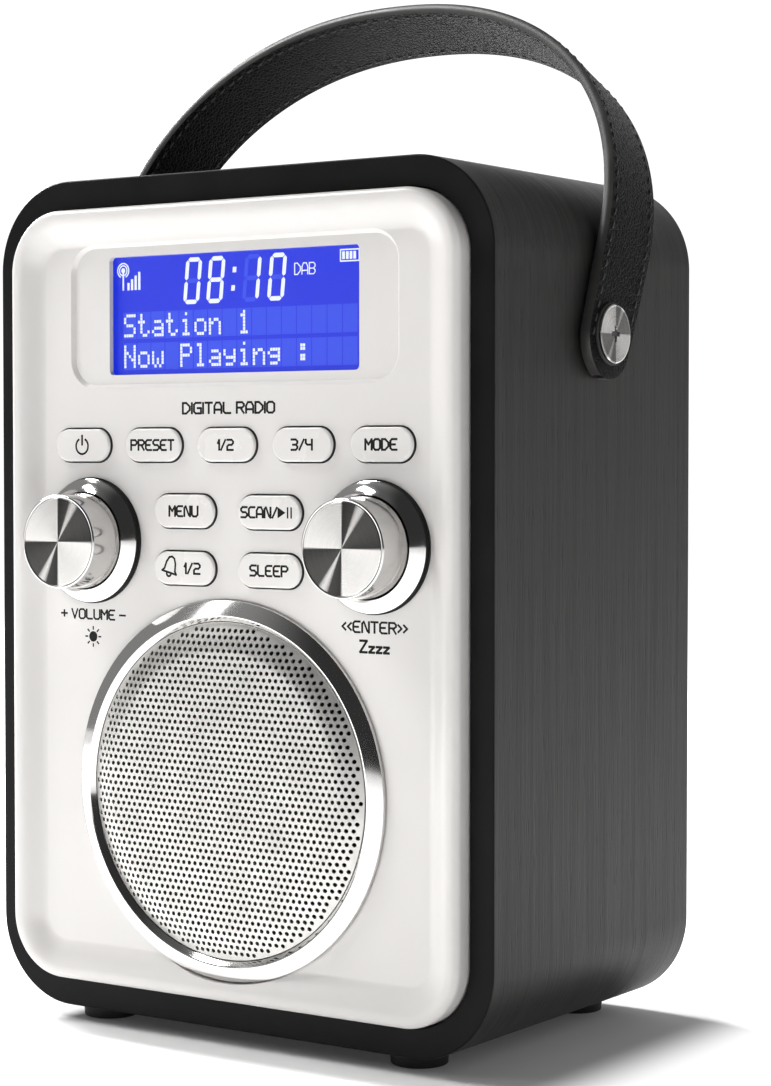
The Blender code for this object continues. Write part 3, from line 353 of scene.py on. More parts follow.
def addNode(tree, kind, settings=None, values=None):
    # values are constants, or the outputs of other nodes
    node = tree.nodes.new(kind)
    for key, value in (settings or {}).items():
        setattr(node, key, value)
    for key, value in (values or {}).items():
        if isinstance(value, bpy.types.NodeSocket):
            tree.links.new(value, node.inputs[key])
        else:
            node.inputs[key].default_value = value
    return node


def mathNode(tree, operation, first, second=None, third=None, clamp=False):
    values = {i: v for i, v in enumerate((first, second, third)) if v is not None}
    return addNode(tree, "ShaderNodeMath", {"operation": operation, "use_clamp": clamp}, values).outputs[0]


def rangeNode(tree, value, low, high, toLow=0.0, toHigh=1.0, kind="LINEAR"):
    values = {0: value, 1: low, 2: high, 3: toLow, 4: toHigh}
    return addNode(tree, "ShaderNodeMapRange", {"interpolation_type": kind}, values).outputs[0]


def noise(tree, vector, scale, detail, output="Fac", **more):
    values = {"Vector": vector, "Scale": scale, "Detail": detail, **more}
    return addNode(tree, "ShaderNodeTexNoise", None, values).outputs[output]


def stretched(tree, vector, scale):
    return addNode(tree, "ShaderNodeMapping", None, {"Vector": vector, "Scale": scale}).outputs[0]


def nodeGroup(name, label, value, build):
    # every group takes a vector and one number, and build gives its outputs by name
    tree = bpy.data.node_groups.new(name, "ShaderNodeTree")
    tree.interface.new_socket("Vector", in_out="INPUT", socket_type="NodeSocketVector")
    tree.interface.new_socket(label, in_out="INPUT", socket_type="NodeSocketFloat").default_value = value
    entry = tree.nodes.new("NodeGroupInput")
    results = build(tree, entry.outputs["Vector"], entry.outputs[label])
    for result in results:
        tree.interface.new_socket(result, in_out="OUTPUT", socket_type="NodeSocketFloat")
    addNode(tree, "NodeGroupOutput", None, results)
    return tree


def grime(tree, vector, scale):
    # faint uneven patches, such as handling leaves on any hard surface
    wide = noise(tree, vector, scale, 5.0, Roughness=0.6)
    fine = noise(tree, vector, 2200.0, 2.0)
    return {"Patches": rangeNode(tree, wide, 0.35, 0.70), "Specks": rangeNode(tree, fine, 0.62, 0.74)}


def skin(tree, vector, grain):
    # the slightly uneven skin of moulded plastic
    slow = mathNode(tree, "MULTIPLY", noise(tree, vector, 90.0, 1.0), 0.7)
    return {"Height": mathNode(tree, "MULTIPLY_ADD", noise(tree, vector, grain, 3.0), 0.3, slow)}


def grain(tree, vector, fineness):
    # long thin streaks: the vector's Y runs along the grain
    along = stretched(tree, vector, (1.0, 0.016, 1.0))
    streak = noise(tree, along, fineness, 6.0, Roughness=0.65, Distortion=0.4)
    pore = noise(tree, stretched(tree, vector, (1.0, 0.05, 1.0)), 2600.0, 2.0)
    return {"Streaks": rangeNode(tree, streak, 0.30, 0.72), "Pores": rangeNode(tree, pore, 0.56, 0.68)}


def turning(tree, vector, pitch):
    # fine rings round the vector's origin, in the XZ plane, and how far round a point is
    x, _, z = addNode(tree, "ShaderNodeSeparateXYZ", None, {0: vector}).outputs
    square = mathNode(tree, "MULTIPLY_ADD", z, z, mathNode(tree, "MULTIPLY", x, x))
    turns = mathNode(tree, "DIVIDE", mathNode(tree, "SQRT", square), pitch)
    values = {"W": turns, "Scale": 1.0, "Detail": 3.0}
    line = addNode(tree, "ShaderNodeTexNoise", {"noise_dimensions": "1D"}, values).outputs["Fac"]
    rings = rangeNode(tree, line, 0.35, 0.65)
    return {"Height": line, "Rings": rings, "Bearing": mathNode(tree, "ARCTAN2", z, x)}


def pebbles(tree, vector, size):
    # small rounded pebbles with creases between them, and a mask that paints shade into the creases
    wander = noise(tree, vector, 700.0, 2.0, "Color")
    values = {0: 0.0006, 4: vector, 5: wander}
    shifted = addNode(tree, "ShaderNodeMix", {"data_type": "VECTOR"}, values).outputs[1]
    values = {"Vector": shifted, "Scale": size, "Randomness": 0.9}
    cells = addNode(tree, "ShaderNodeTexVoronoi", {"feature": "DISTANCE_TO_EDGE"}, values)
    middle = rangeNode(tree, cells.outputs["Distance"], 0.0, 0.22)
    creases = rangeNode(tree, cells.outputs["Distance"], 0.0, 0.07, 1, 0)
    return {"Height": mathNode(tree, "SMOOTH_MIN", middle, 0.8, 0.3), "PaintedCreaseShade": creases}


print("radio: node groups")
handlingMarks = nodeGroup("handlingMarks", "Scale", 60.0, grime)
mouldedSkin = nodeGroup("mouldedSkin", "Grain", 3000.0, skin)
woodGrain = nodeGroup("woodGrain", "Fineness", 900.0, grain)
turningLines = nodeGroup("turningLines", "Pitch", 0.00016, turning)
leatherPebble = nodeGroup("leatherPebble", "Size", 1050.0, pebbles)


# ---- finishes


class Finish:
    # a material under way: its tree, its shader and a few short ways to join things up
    def __init__(self, name, colour, roughness, metallic=0.0, **constants):
        self.material = bpy.data.materials.new(name)
        self.material.use_nodes = True
        self.tree = self.material.node_tree
        self.shader = self.tree.nodes["Principled BSDF"]
        constants.update({"Base Color": (*colour, 1), "Roughness": roughness, "Metallic": metallic})
        for label, value in constants.items():
            self.shader.inputs[label.replace("_", " ")].default_value = value
        self.where = addNode(self.tree, "ShaderNodeTexCoord").outputs["Object"]

    def map(self, name):
        return addNode(self.tree, "ShaderNodeUVMap", {"uv_map": name}).outputs[0]

    def group(self, shared, vector=None, **values):
        values["Vector"] = vector or self.where
        return addNode(self.tree, "ShaderNodeGroup", {"node_tree": shared}, values).outputs

    def mixColour(self, mask, low, high):
        low, high = [(*end, 1) if isinstance(end, tuple) else end for end in (low, high)]
        values = {0: mask, 6: low, 7: high}
        return addNode(self.tree, "ShaderNodeMix", {"data_type": "RGBA"}, values).outputs[2]

    def link(self, output, label):
        self.tree.links.new(output, self.shader.inputs[label])

    def vary(self, label, mask, low, high):
        # from low to high, colours or numbers, as the mask goes from nothing to full
        if isinstance(high, tuple):
            self.link(self.mixColour(mask, low, high), label)
        else:
            self.link(rangeNode(self.tree, mask, 0, 1, low, high), label)

    def bump(self, height, distance, strength=1.0):
        values = {"Distance": distance, "Strength": strength, "Height": height}
        self.link(addNode(self.tree, "ShaderNodeBump", None, values).outputs[0], "Normal")


def scaled(colour, share):
    return tuple(c * share for c in colour)


def worn(name, low, high, spread, rough, uneven=None, metallic=0.0, **constants):
    # a plain finish that handling has marked: low and high are its colours where it is clean and marked
    finish = Finish(name, low, rough[0], metallic, **constants)
    patches = finish.group(handlingMarks, Scale=spread)["Patches"]
    finish.vary("Base Color", patches, low, high)
    finish.vary("Roughness", patches, *rough)
    if uneven:
        size, distance, strength = uneven
        finish.bump(finish.group(mouldedSkin, Grain=size)["Height"], distance, strength)
    return finish.material


def glossyWhite(name, colour, rough):
    coat = {"Coat_Weight": 0.08, "Coat_Roughness": 0.12}
    uneven = (3000.0, 0.00002, 0.35)
    return worn(name, colour, scaled(colour, 0.975), 35.0, (rough, rough + 0.07), uneven, **coat)


def satinMetal(name, colour, rough):
    uneven = (4200.0, 0.00001, 0.5)
    return worn(name, colour, scaled(colour, 0.93), 120.0, (rough, rough + 0.10), uneven, 1.0)


def plastic(name, colour, size=2600.0, rough=0.46):
    uneven = (size, 0.00006, 0.6)
    return worn(name, colour, scaled(colour, 1.35), 60.0, (rough, rough + 0.10), uneven)


def darkWood(name, dark=(0.013, 0.0125, 0.012), light=(0.030, 0.0287, 0.0273)):
    finish = Finish(name, dark, 0.42, Specular_IOR_Level=0.20)
    wrap = finish.map("wrap")
    fine = finish.group(woodGrain, wrap, Fineness=1150.0)
    wide = finish.group(woodGrain, wrap, Fineness=420.0)
    blend = mathNode(finish.tree, "MULTIPLY", fine["Streaks"], 0.55)
    blend = mathNode(finish.tree, "MULTIPLY_ADD", wide["Streaks"], 0.45, blend, clamp=True)
    colour = finish.mixColour(blend, dark, light)
    finish.vary("Base Color", fine["Pores"], colour, scaled(dark, 0.7))
    finish.vary("Roughness", blend, 0.50, 0.36)
    finish.bump(mathNode(finish.tree, "SUBTRACT", blend, fine["Pores"]), 0.00004, 0.5)
    return finish.material


def polishedChrome(name, colour, rough):
    finish = Finish(name, colour, rough, 1.0)
    marks = finish.group(handlingMarks, Scale=80.0)
    finish.vary("Roughness", marks["Patches"], rough, rough + 0.05)
    finish.vary("Base Color", marks["Specks"], colour, scaled(colour, 0.92))
    finish.bump(marks["Patches"], 0.00001, 0.15)
    return finish.material


def spunDiscPaintedFans(name, centre, paintedFanDepth, axisTurn=(0, 0, 0), axis="Y"):
    # a face turned on a lathe: fine rings, and painted fans of highlight and shade in its colour, with a thin
    # painted glint and a faint painted sheen, standing in for the light that such rings gather
    colour = (0.82, 0.80, 0.78)
    finish = Finish(name, colour, 0.24, 1.0, Anisotropic=0.75)
    tree = finish.tree
    tangent = addNode(tree, "ShaderNodeTangent", {"direction_type": "RADIAL", "axis": axis})
    finish.link(tangent.outputs[0], "Tangent")
    values = {"Vector": finish.where, "Location": centre, "Rotation": axisTurn}
    centred = addNode(tree, "ShaderNodeMapping", {"vector_type": "TEXTURE"}, values).outputs[0]
    lines = finish.group(turningLines, centred)
    # painted light: bright and dark fans, a thin glint and a sheen, set into the base colour by the bearing
    # round the middle
    paintedFanWave = mathNode(tree, "SINE", mathNode(tree, "MULTIPLY", lines["Bearing"], 2.0))
    paintedDarkFans = rangeNode(tree, paintedFanWave, -0.06, 0.06)
    streak = mathNode(tree, "SINE", mathNode(tree, "MULTIPLY_ADD", lines["Bearing"], 2.0, -0.55))
    thin = rangeNode(tree, streak, 0.955, 1.0, 0, 0.75)
    light = mathNode(tree, "MAXIMUM", mathNode(tree, "SUBTRACT", 1.0, paintedDarkFans), thin)
    paintedShade = mathNode(tree, "MULTIPLY_ADD", light, paintedFanDepth, 1 - paintedFanDepth)
    paintedSheen = mathNode(tree, "MULTIPLY", mathNode(tree, "MAXIMUM", paintedFanWave, 0.0), 0.05)
    paintedShade = mathNode(tree, "ADD", paintedShade, paintedSheen, clamp=True)
    ringed = mathNode(tree, "MULTIPLY_ADD", lines["Rings"], 0.06, 0.94)
    finish.vary("Base Color", mathNode(tree, "MULTIPLY", paintedShade, ringed), scaled(colour, 0.02), colour)
    finish.vary("Roughness", lines["Rings"], 0.20, 0.28)
    finish.bump(lines["Height"], 0.000012, 0.4)
    return finish.material


def blackLeather(name, black=(0.0025, 0.0025, 0.0025)):
    finish = Finish(name, black, 0.40, Specular_IOR_Level=0.075)
    vector = finish.map("along")
    pebble = finish.group(leatherPebble, vector)
    marks = finish.group(handlingMarks, vector, Scale=70.0)
    colour = finish.mixColour(marks["Patches"], black, (0.0045, 0.0044, 0.0043))
    # the creases are painted darker: painted shade
    finish.vary("Base Color", pebble["PaintedCreaseShade"], colour, (0.001, 0.001, 0.001))
    finish.vary("Roughness", pebble["Height"], 0.58, 0.36)
    finish.bump(pebble["Height"], 0.00035)
    return finish.material


def waxedThread(name):
    finish = Finish(name, (0.02, 0.02, 0.02), 0.5)
    values = {"Vector": finish.where, "Scale": 900.0, "Distortion": 1.0}
    twist = addNode(finish.tree, "ShaderNodeTexWave", {"wave_type": "BANDS"}, values).outputs["Fac"]
    finish.vary("Base Color", twist, (0.014, 0.014, 0.014), (0.035, 0.035, 0.034))
    finish.bump(twist, 0.00005, 0.7)
    return finish.material


def litGlow(name, colour, strength, variation=0.06):
    # something that the display's lamp shines through
    finish = Finish(name, scaled(colour, 0.3), 0.35, Emission_Strength=strength)
    patches = finish.group(handlingMarks, Scale=18.0)["Patches"]
    finish.vary("Emission Color", patches, colour, scaled(colour, 1 - variation))
    return finish.material


def clearGlass(name):
    finish = Finish(name, (1.0, 1.0, 1.0), 0.0, Transmission_Weight=1.0, IOR=1.45)
    finish.vary("Roughness", finish.group(handlingMarks, Scale=40.0)["Patches"], 0.0, 0.015)
    return finish.material


def greenBoard(name):
    finish = Finish(name, (0.01, 0.10, 0.04), 0.42, Coat_Weight=0.4)
    values = {"Vector": finish.where, "Scale": 160.0, "Mortar Size": 0.03}
    tracks = addNode(finish.tree, "ShaderNodeTexBrick", None, values).outputs["Fac"]
    finish.vary("Base Color", tracks, (0.008, 0.10, 0.04), (0.02, 0.20, 0.08))
    finish.bump(tracks, 0.00005, 0.5)
    return finish.material


print("radio: finishes")
panelWhite = glossyWhite("panelWhite", (0.68, 0.662, 0.645), 0.30)
keyWhite = glossyWhite("keyWhite", (0.71, 0.692, 0.674), 0.24)
cabinetWood = darkWood("cabinetWood")
edgeLacquer = worn(
    "edgeLacquer", (0.008, 0.008, 0.0082), (0.012, 0.012, 0.012), 50.0, (0.34, 0.44), (1800.0, 0.00003, 0.4),
    Specular_IOR_Level=0.06,
)
chrome = polishedChrome("ringChrome", (0.66, 0.65, 0.64), 0.07)
knobChrome = polishedChrome("knobChrome", (0.64, 0.63, 0.62), 0.10)
grilleMetal = satinMetal("grilleMetal", (0.56, 0.55, 0.53), 0.40)
plainSteel = satinMetal("plainSteel", (0.45, 0.45, 0.45), 0.35)
darkSteelAndRecessShade = satinMetal("darkSteelAndRecessShade", (0.10, 0.10, 0.105), 0.40)
brass = satinMetal("turnedBrass", (0.62, 0.42, 0.16), 0.30)
leather = blackLeather("strapLeather")
strapEdge = worn(
    "strapEdge", (0.034, 0.033, 0.032), (0.052, 0.050, 0.048), 160.0, (0.30, 0.42), (1500.0, 0.00006, 0.6),
    Specular_IOR_Level=0.38,
)
thread = waxedThread("strapThread")
backPlastic = plastic("backPlastic", (0.022, 0.022, 0.023))
innerPlasticAndGapShade = plastic("innerPlasticAndGapShade", (0.03, 0.03, 0.032), 1200.0)
coneBlackAndGapShade = plastic("coneBlackAndGapShade", (0.004, 0.004, 0.004), 900.0, 0.9)
footRubber = worn(
    "footRubber", (0.012, 0.012, 0.012), (0.03, 0.03, 0.029), 220.0, (0.68, 0.85), (1700.0, 0.00008, 0.8),
)
ink = worn(
    "legendInk", (0.004, 0.004, 0.004), (0.008, 0.008, 0.008), 300.0, (0.46, 0.58), Specular_IOR_Level=0.15,
)
board = greenBoard("circuitBoard")
glass = clearGlass("windowGlass")
displayBlue = litGlow("displayBlue", (0.008, 0.032, 0.84), 0.78)
displayCell = litGlow("displayCell", (0.035, 0.085, 0.92), 0.78)
displayWhite = litGlow("displayWhite", (0.82, 0.87, 1.0), 1.0, 0.02)
guideWhite = plastic("guideWhite", (0.75, 0.75, 0.78), 2000.0)
cellBlue = plastic("batteryWrap", (0.02, 0.05, 0.20), 800.0, 0.35)


# ---- the cabinet

cabinet = {"corner": 19.0, "sideWall": 5.7, "topWall": 6.3, "edge": 0.45}
innerCorner = cabinet["corner"] - (cabinet["sideWall"] + cabinet["topWall"]) / 2


def perimeter(x, z):
    # how far round the cabinet a point is, in metres, starting in the middle of the underside
    halfWide, halfTall = cabinetWide / 2 * mm, cabinetTall / 2 * mm
    radius = cabinet["corner"] * mm
    straightX, straightZ = halfWide - radius, halfTall - radius
    z -= underside + halfTall
    side = 1 if x >= 0 else -1
    x = abs(x)
    bend = radius * math.pi / 2
    if x <= straightX:
        far = x if z < 0 else 2 * straightX + 2 * straightZ + 2 * bend - x
    elif abs(z) <= straightZ:
        far = straightX + bend + straightZ + z
    else:
        angle = math.atan2(abs(z) - straightZ, x - straightX)
        if z < 0:
            far = straightX + radius * (math.pi / 2 - angle)
        else:
            far = straightX + bend + 2 * straightZ + radius * angle
    return side * far


def wrapMap(piece):
    # a map that follows the wrap: X across the grain, Y along it
    layer = piece.data.uv_layers.new(name="wrap")
    for polygon in piece.data.polygons:
        middle = perimeter(polygon.center.x, polygon.center.z)
        for index in polygon.loop_indices:
            place = piece.data.vertices[piece.data.loops[index].vertex_index].co
            along = perimeter(place.x, place.z)
            if abs(along - middle) > 0.1:
                along = -along
            layer.data[index].uv = (place.y, along)


def makeCabinet():
    middle = (0, cabinetDeep / 2, cabinetTall / 2)
    shell = block("cabinetBody", (cabinetWide, cabinetDeep, cabinetTall), middle, cabinet["corner"], 24)
    mouthSize = (cabinetWide - 2 * cabinet["sideWall"], cabinetDeep + 2, cabinetTall - 2 * cabinet["topWall"])
    combine(shell, block("mouth", mouthSize, middle, innerCorner + 0.6, 24))
    soften(shell, cabinet["edge"], 3, 50)
    hand(shell, "cabinet", cabinetWood, "cabinet_shell")
    wrapMap(shell)

    def cutEdge(polygon):
        inside = abs(polygon.center.x) < (cabinetWide / 2 - 1) * mm
        inward = polygon.normal.dot(polygon.center - at(*middle)) < 0
        return abs(polygon.normal.y) > 0.5 or (inside and inward)

    paintWhere(shell, edgeLacquer, cutEdge)


print("radio: cabinet")
makeCabinet()


# ---- the moulded front

front = {
    "rimRound": 1.5, "rimFlat": 2.1, "dishEnd": 8.4, "field": -1.3, "fieldBack": 0.7, "wall": 2.0,
    "display": 150.3, "recess": (86.0, 30.8, 6.4), "recessSlope": 0.8, "recessFloor": -0.5,
    "window": (65.5, 25.2, 1.0), "gap": 0.32, "knobHole": 11.5, "speaker": 50.6, "speakerHole": 36.8,
    "ringOuter": 39.9, "ringGap": 0.25,
}
buttons = {
    "power_button": (-39.2, 122.7, 15.2), "preset_button": (-19.6, 122.7, 15.2),
    "preset_1_2_button": (0.0, 122.7, 15.2), "preset_3_4_button": (19.6, 122.7, 15.2),
    "mode_button": (39.2, 122.7, 15.2), "menu_button": (-11.2, 108.8, 16.2),
    "scan_button": (11.2, 108.8, 16.2), "alarm_button": (-11.2, 96.8, 16.2),
    "sleep_button": (11.2, 96.8, 16.2),
}
buttonTall = 7.0
knobs = {"volume": -37.0, "enter": 37.0}
knobRise = 102.2


def between(name, wide, tall, depths, x, rise, corner=0.0, segments=12):
    size = (wide, depths[1] - depths[0], tall)
    return block(name, size, (x, (depths[0] + depths[1]) / 2, rise), corner, segments)


def makeFront():
    (x, depth, rise), size = middleOf("front_panel")
    corner = innerCorner + 0.3
    rimDepth, backDepth = depth - size.y / 2, depth + size.y / 2
    field, rimRound, wall = front["field"], front["rimRound"], front["wall"]
    panel = between("frontMoulding", size.x, size.z, (rimDepth + rimRound, backDepth), x, rise, corner, 20)
    steps = roundSteps(rimRound, 6) + [(front["rimFlat"] - rimRound, 0.0)]
    steps += swellSteps(front["dishEnd"] - front["rimFlat"], rimDepth - field, 12)
    stepFace(panel, (0, -1, 0), steps)
    pocket = (size.x - 2 * wall, size.z - 2 * wall, (front["fieldBack"], backDepth + 1))
    combine(panel, between("pocket", *pocket, x, rise, corner - wall, 12))

    wide, tall, recessCorner = front["recess"]
    sink = between("recess", wide, tall, (field - 2, field - 0.02), 0, front["display"], recessCorner, 16)
    stepFace(sink, (0, 1, 0), [(front["recessSlope"], front["recessFloor"] - field + 0.02)])
    combine(panel, sink)
    through = (field - 1, front["fieldBack"] + 1)
    wide, tall, windowCorner = front["window"]
    combine(panel, between("window", wide, tall, through, 0, front["display"], windowCorner, 6))
    high = buttonTall + 2 * front["gap"]
    for keyX, keyRise, keyWide in buttons.values():
        wide = keyWide + 2 * front["gap"]
        combine(panel, between("keyHole", wide, high, through, keyX, keyRise, high / 2 - 0.02, 12))
    for knobX in knobs.values():
        hole = [(front["knobHole"], place) for place in through]
        combine(panel, turned("knobHole", (knobX, 0, knobRise), hole, 64))
    seat = [(front["ringOuter"] + front["ringGap"], place) for place in (rimDepth - 1, field + 0.1)]
    combine(panel, turned("ringSeat", (0, 0, front["speaker"]), seat, 128))
    hole = [(front["speakerHole"], place) for place in through]
    combine(panel, turned("speakerHole", (0, 0, front["speaker"]), hole, 128))
    soften(panel, 0.14, 2, 50)
    hand(panel, "cabinet", panelWhite, "front_panel", 32)


print("radio: front")
makeFront()


# ---- the display

lcd = {
    "depth": 2.06,
    "cellPitch": 3.86,
    "firstCell": -28.95,
    "rows": (10.6, 4.0),  # above the window's lower edge
    "dot": (0.56, 0.62),
    "dotPitch": (0.655, 0.71),
    "lines": ("Station 1", "Now Playing :"),
    "clock": ((-11.7, "abcdef"), (-5.5, "abcdefg"), (4.0, "bc"), (10.5, "abcdef")),
    "digit": (4.3, 9.8, 0.92),
    "slant": 0.10,
}
dotLetters = {
    "S": " ####|#    |#    | ### |    #|    #|#### ", "t": " #   | #   |###  | #   | #   | #  #|  ## ",
    "a": "     |     | ### |    #| ####|#   #| ####", "i": "  #  |     | ##  |  #  |  #  |  #  | ### ",
    "o": "     |     | ### |#   #|#   #|#   #| ### ", "n": "     |     |# ## |##  #|#   #|#   #|#   #",
    "1": "  #  | ##  |  #  |  #  |  #  |  #  | ### ", "N": "#   #|#   #|##  #|# # #|#  ##|#   #|#   #",
    "w": "     |     |#   #|#   #|# # #|# # #| # # ", "P": "#### |#   #|#   #|#### |#    |#    |#    ",
    "l": " ##  |  #  |  #  |  #  |  #  |  #  | ### ", "y": "     |     |#   #|#   #| ####|    #| ### ",
    "g": "     |     | ####|#   #| ####|    #| ### ", ":": "     | ##  | ##  |     | ##  | ##  |     ",
}


def segmentOutline(x, rise, name):
    # one bar of a seven-bar digit, with pointed ends
    wide, tall, weight = lcd["digit"]
    half, up, w = wide / 2, tall / 2, weight / 2
    gap = 0.10
    if name in "adg":
        level = {"a": up - w, "d": -up + w, "g": 0}[name]
        a, b = -half + gap + w, half - gap - w
        points = [(a, level), (a + w, level + w), (b - w, level + w)]
        points += [(b, level), (b - w, level - w), (a + w, level - w)]
    else:
        side = half - w if name in "bc" else -half + w
        low, high = (gap, up - w - gap) if name in "bf" else (-up + w + gap, -gap)
        points = [(side, low), (side - w, low + w), (side - w, high - w)]
        points += [(side, high), (side + w, high - w), (side + w, low + w)]
    return [(x + a + lcd["slant"] * b, rise + b) for a, b in points]


def dotLetter(letter, x, rise):
    # the lit dots of one letter
    pitchX, pitchRise = lcd["dotPitch"]
    dots = []
    for down, line in enumerate(dotLetters.get(letter, "").split("|")):
        for across, mark in enumerate(line):
            if mark == "#":
                dots.append(oblong(x + (across - 2) * pitchX, rise + (3 - down) * pitchRise, *lcd["dot"]))
    return dots


def makeDisplay():
    tall = front["window"][1]
    low, high = front["display"] - tall / 2, front["display"] + tall / 2
    slant = lcd["slant"]
    cells, dots = [], []
    for row, text in zip(lcd["rows"], lcd["lines"]):
        for column in range(16):
            x = lcd["firstCell"] + lcd["cellPitch"] * column
            cells.append(oblong(x, low + row, lcd["cellPitch"] - 0.22, 5.75))
            dots += dotLetter(text[column:column + 1], x, low + row)
    clockRise = high - 0.7 - lcd["digit"][1] / 2
    for x, lit in lcd["clock"]:
        for name in "abcdefg":
            (dots if name in lit else cells).append(segmentOutline(x, clockRise, name))
    for up in (1.9, -1.9):
        dots.append(oblong(-0.75 + slant * up, clockRise + up, 0.95, 1.15, slant))
    for index in range(4):
        bar = 1.6 + 0.75 * index
        dots.append(oblong(-29.3 + 1.0 * index, high - 7.0 + bar / 2, 0.62, bar))
        dots.append(oblong(27.3 + 0.92 * index, high - 1.95, 0.66, 1.55))
    mast = (-30.75, high - 2.75)
    dots += [oblong(mast[0], high - 4.9, 0.42, 4.2), disc(*mast, 0.55)]
    around = ((26.55, -3.1), (31.2, -3.1), (31.2, -0.8), (26.55, -0.8), (26.55, -3.1))
    battery = [(x, high + rise) for x, rise in around]
    lines = [circleLine(*mast, 1.05), circleLine(*mast, 1.55, -60, 240), battery]
    lines += [[(31.75, high - 2.4), (31.75, high - 1.5)]]
    word = wordLines("DAB", 17.6, high - 4.2, 2.3, 0.95, 1.1)
    pieces = (
        (plates("displayCells", cells, lcd["depth"], 0.01), displayCell),
        (plates("displayDots", dots, lcd["depth"] - 0.02, 0.01), displayWhite),
        (strokeMesh("displayIcons", lines, 0.32, lcd["depth"] - 0.03), displayWhite),
        (strokeMesh("displayMode", word, 0.26, lcd["depth"] - 0.03), displayWhite),
    )
    for piece, material in pieces:
        hand(piece, "cabinet", material, weighted=False)
    finishWith(nodes["lcd_glass"], displayBlue)
    finishWith(nodes["display_lens"], glass)


print("radio: display")
makeDisplay()


# ---- the keys

key = {"proud": 0.9, "round": 0.5, "flange": 0.85, "flangeFront": 1.0, "flangeBack": 1.9}
legends = {
    "preset_button": "PRESET", "preset_1_2_button": "1/2", "preset_3_4_button": "3/4",
    "mode_button": "MODE", "menu_button": "MENU", "sleep_button": "SLEEP",
}


def makeKey(name, x, rise, wide):
    face = front["field"] - key["proud"]
    proud, flat = (face + key["round"], key["flangeFront"]), (key["flangeFront"] - 0.05, key["flangeBack"])
    cap = between(name + "Cap", wide, buttonTall, proud, x, rise, buttonTall / 2 - 0.02, 14)
    stepFace(cap, (0, -1, 0), roundSteps(key["round"], 5))
    flangeWide, flangeTall = wide + 2 * key["flange"], buttonTall + 2 * key["flange"]
    flange = between("flange", flangeWide, flangeTall, flat, x, rise, flangeTall / 2 - 0.02, 10)
    combine(cap, flange, "UNION")
    hand(cap, name, keyWhite, name)
    # the cap's sides and flange, down in the hole, are painted dark: painted shade in the gap round the key
    paintWhere(cap, innerPlasticAndGapShade, lambda p: (p.center.y - frontEdge) / mm > front["field"] + 0.35)
    if name in legends:
        lines = wordLines(legends[name], x, rise, 2.1)
    elif name == "power_button":
        lines = [circleLine(x, rise - 0.2, 1.7, 122, 418), [(x, rise + 0.1), (x, rise + 2.1)]]
    elif name == "scan_button":
        lines = wordLines("SCAN/", x - 2.5, rise, 2.1)
        marks = [[(x + 2.3, rise - 1.15), (x + 4.3, rise), (x + 2.3, rise + 1.15)]]
        marks += [oblong(x + 4.85, rise, 0.36, 2.3), oblong(x + 5.75, rise, 0.36, 2.3)]
        hand(plates("scanMarks", marks, face), name, ink, weighted=False)
    else:
        right = [(0.6, 1.65), (1.05, 0.8), (1.25, -0.5), (1.7, -1.0)]
        bell = [(-a, b) for a, b in reversed(right)] + [(0, 1.9)] + right + [(-1.7, -1.0)]
        cos, sin = math.cos(math.radians(-14)), math.sin(math.radians(-14))
        bell = [(a * 1.15, b * 1.2) for a, b in bell]
        lines = [[(x - 3.6 + a * cos - b * sin, rise + 0.2 + a * sin + b * cos) for a, b in bell]]
        lines += [circleLine(x - 4.0, rise - 1.2, 0.55, 150, 360, 8)] + wordLines("1/2", x + 2.3, rise, 2.15)
    hand(strokeMesh(name + "Legend", lines, 0.52, face), name, ink, weighted=False)


print("radio: keys")
for keyName, (keyX, keyRise, keyWide) in buttons.items():
    makeKey(keyName, keyX, keyRise, keyWide)


# ---- the knobs

knob = {
    "face": -12.7, "radius": 10.0, "foot": 10.38, "wall": 1.0, "cap": 9.35, "capBack": -11.9,
    "ringBore": 10.45, "ringEdge": 13.4, "ringCrest": -4.5, "ringSeat": -1.6, "gasket": 0.18,
}


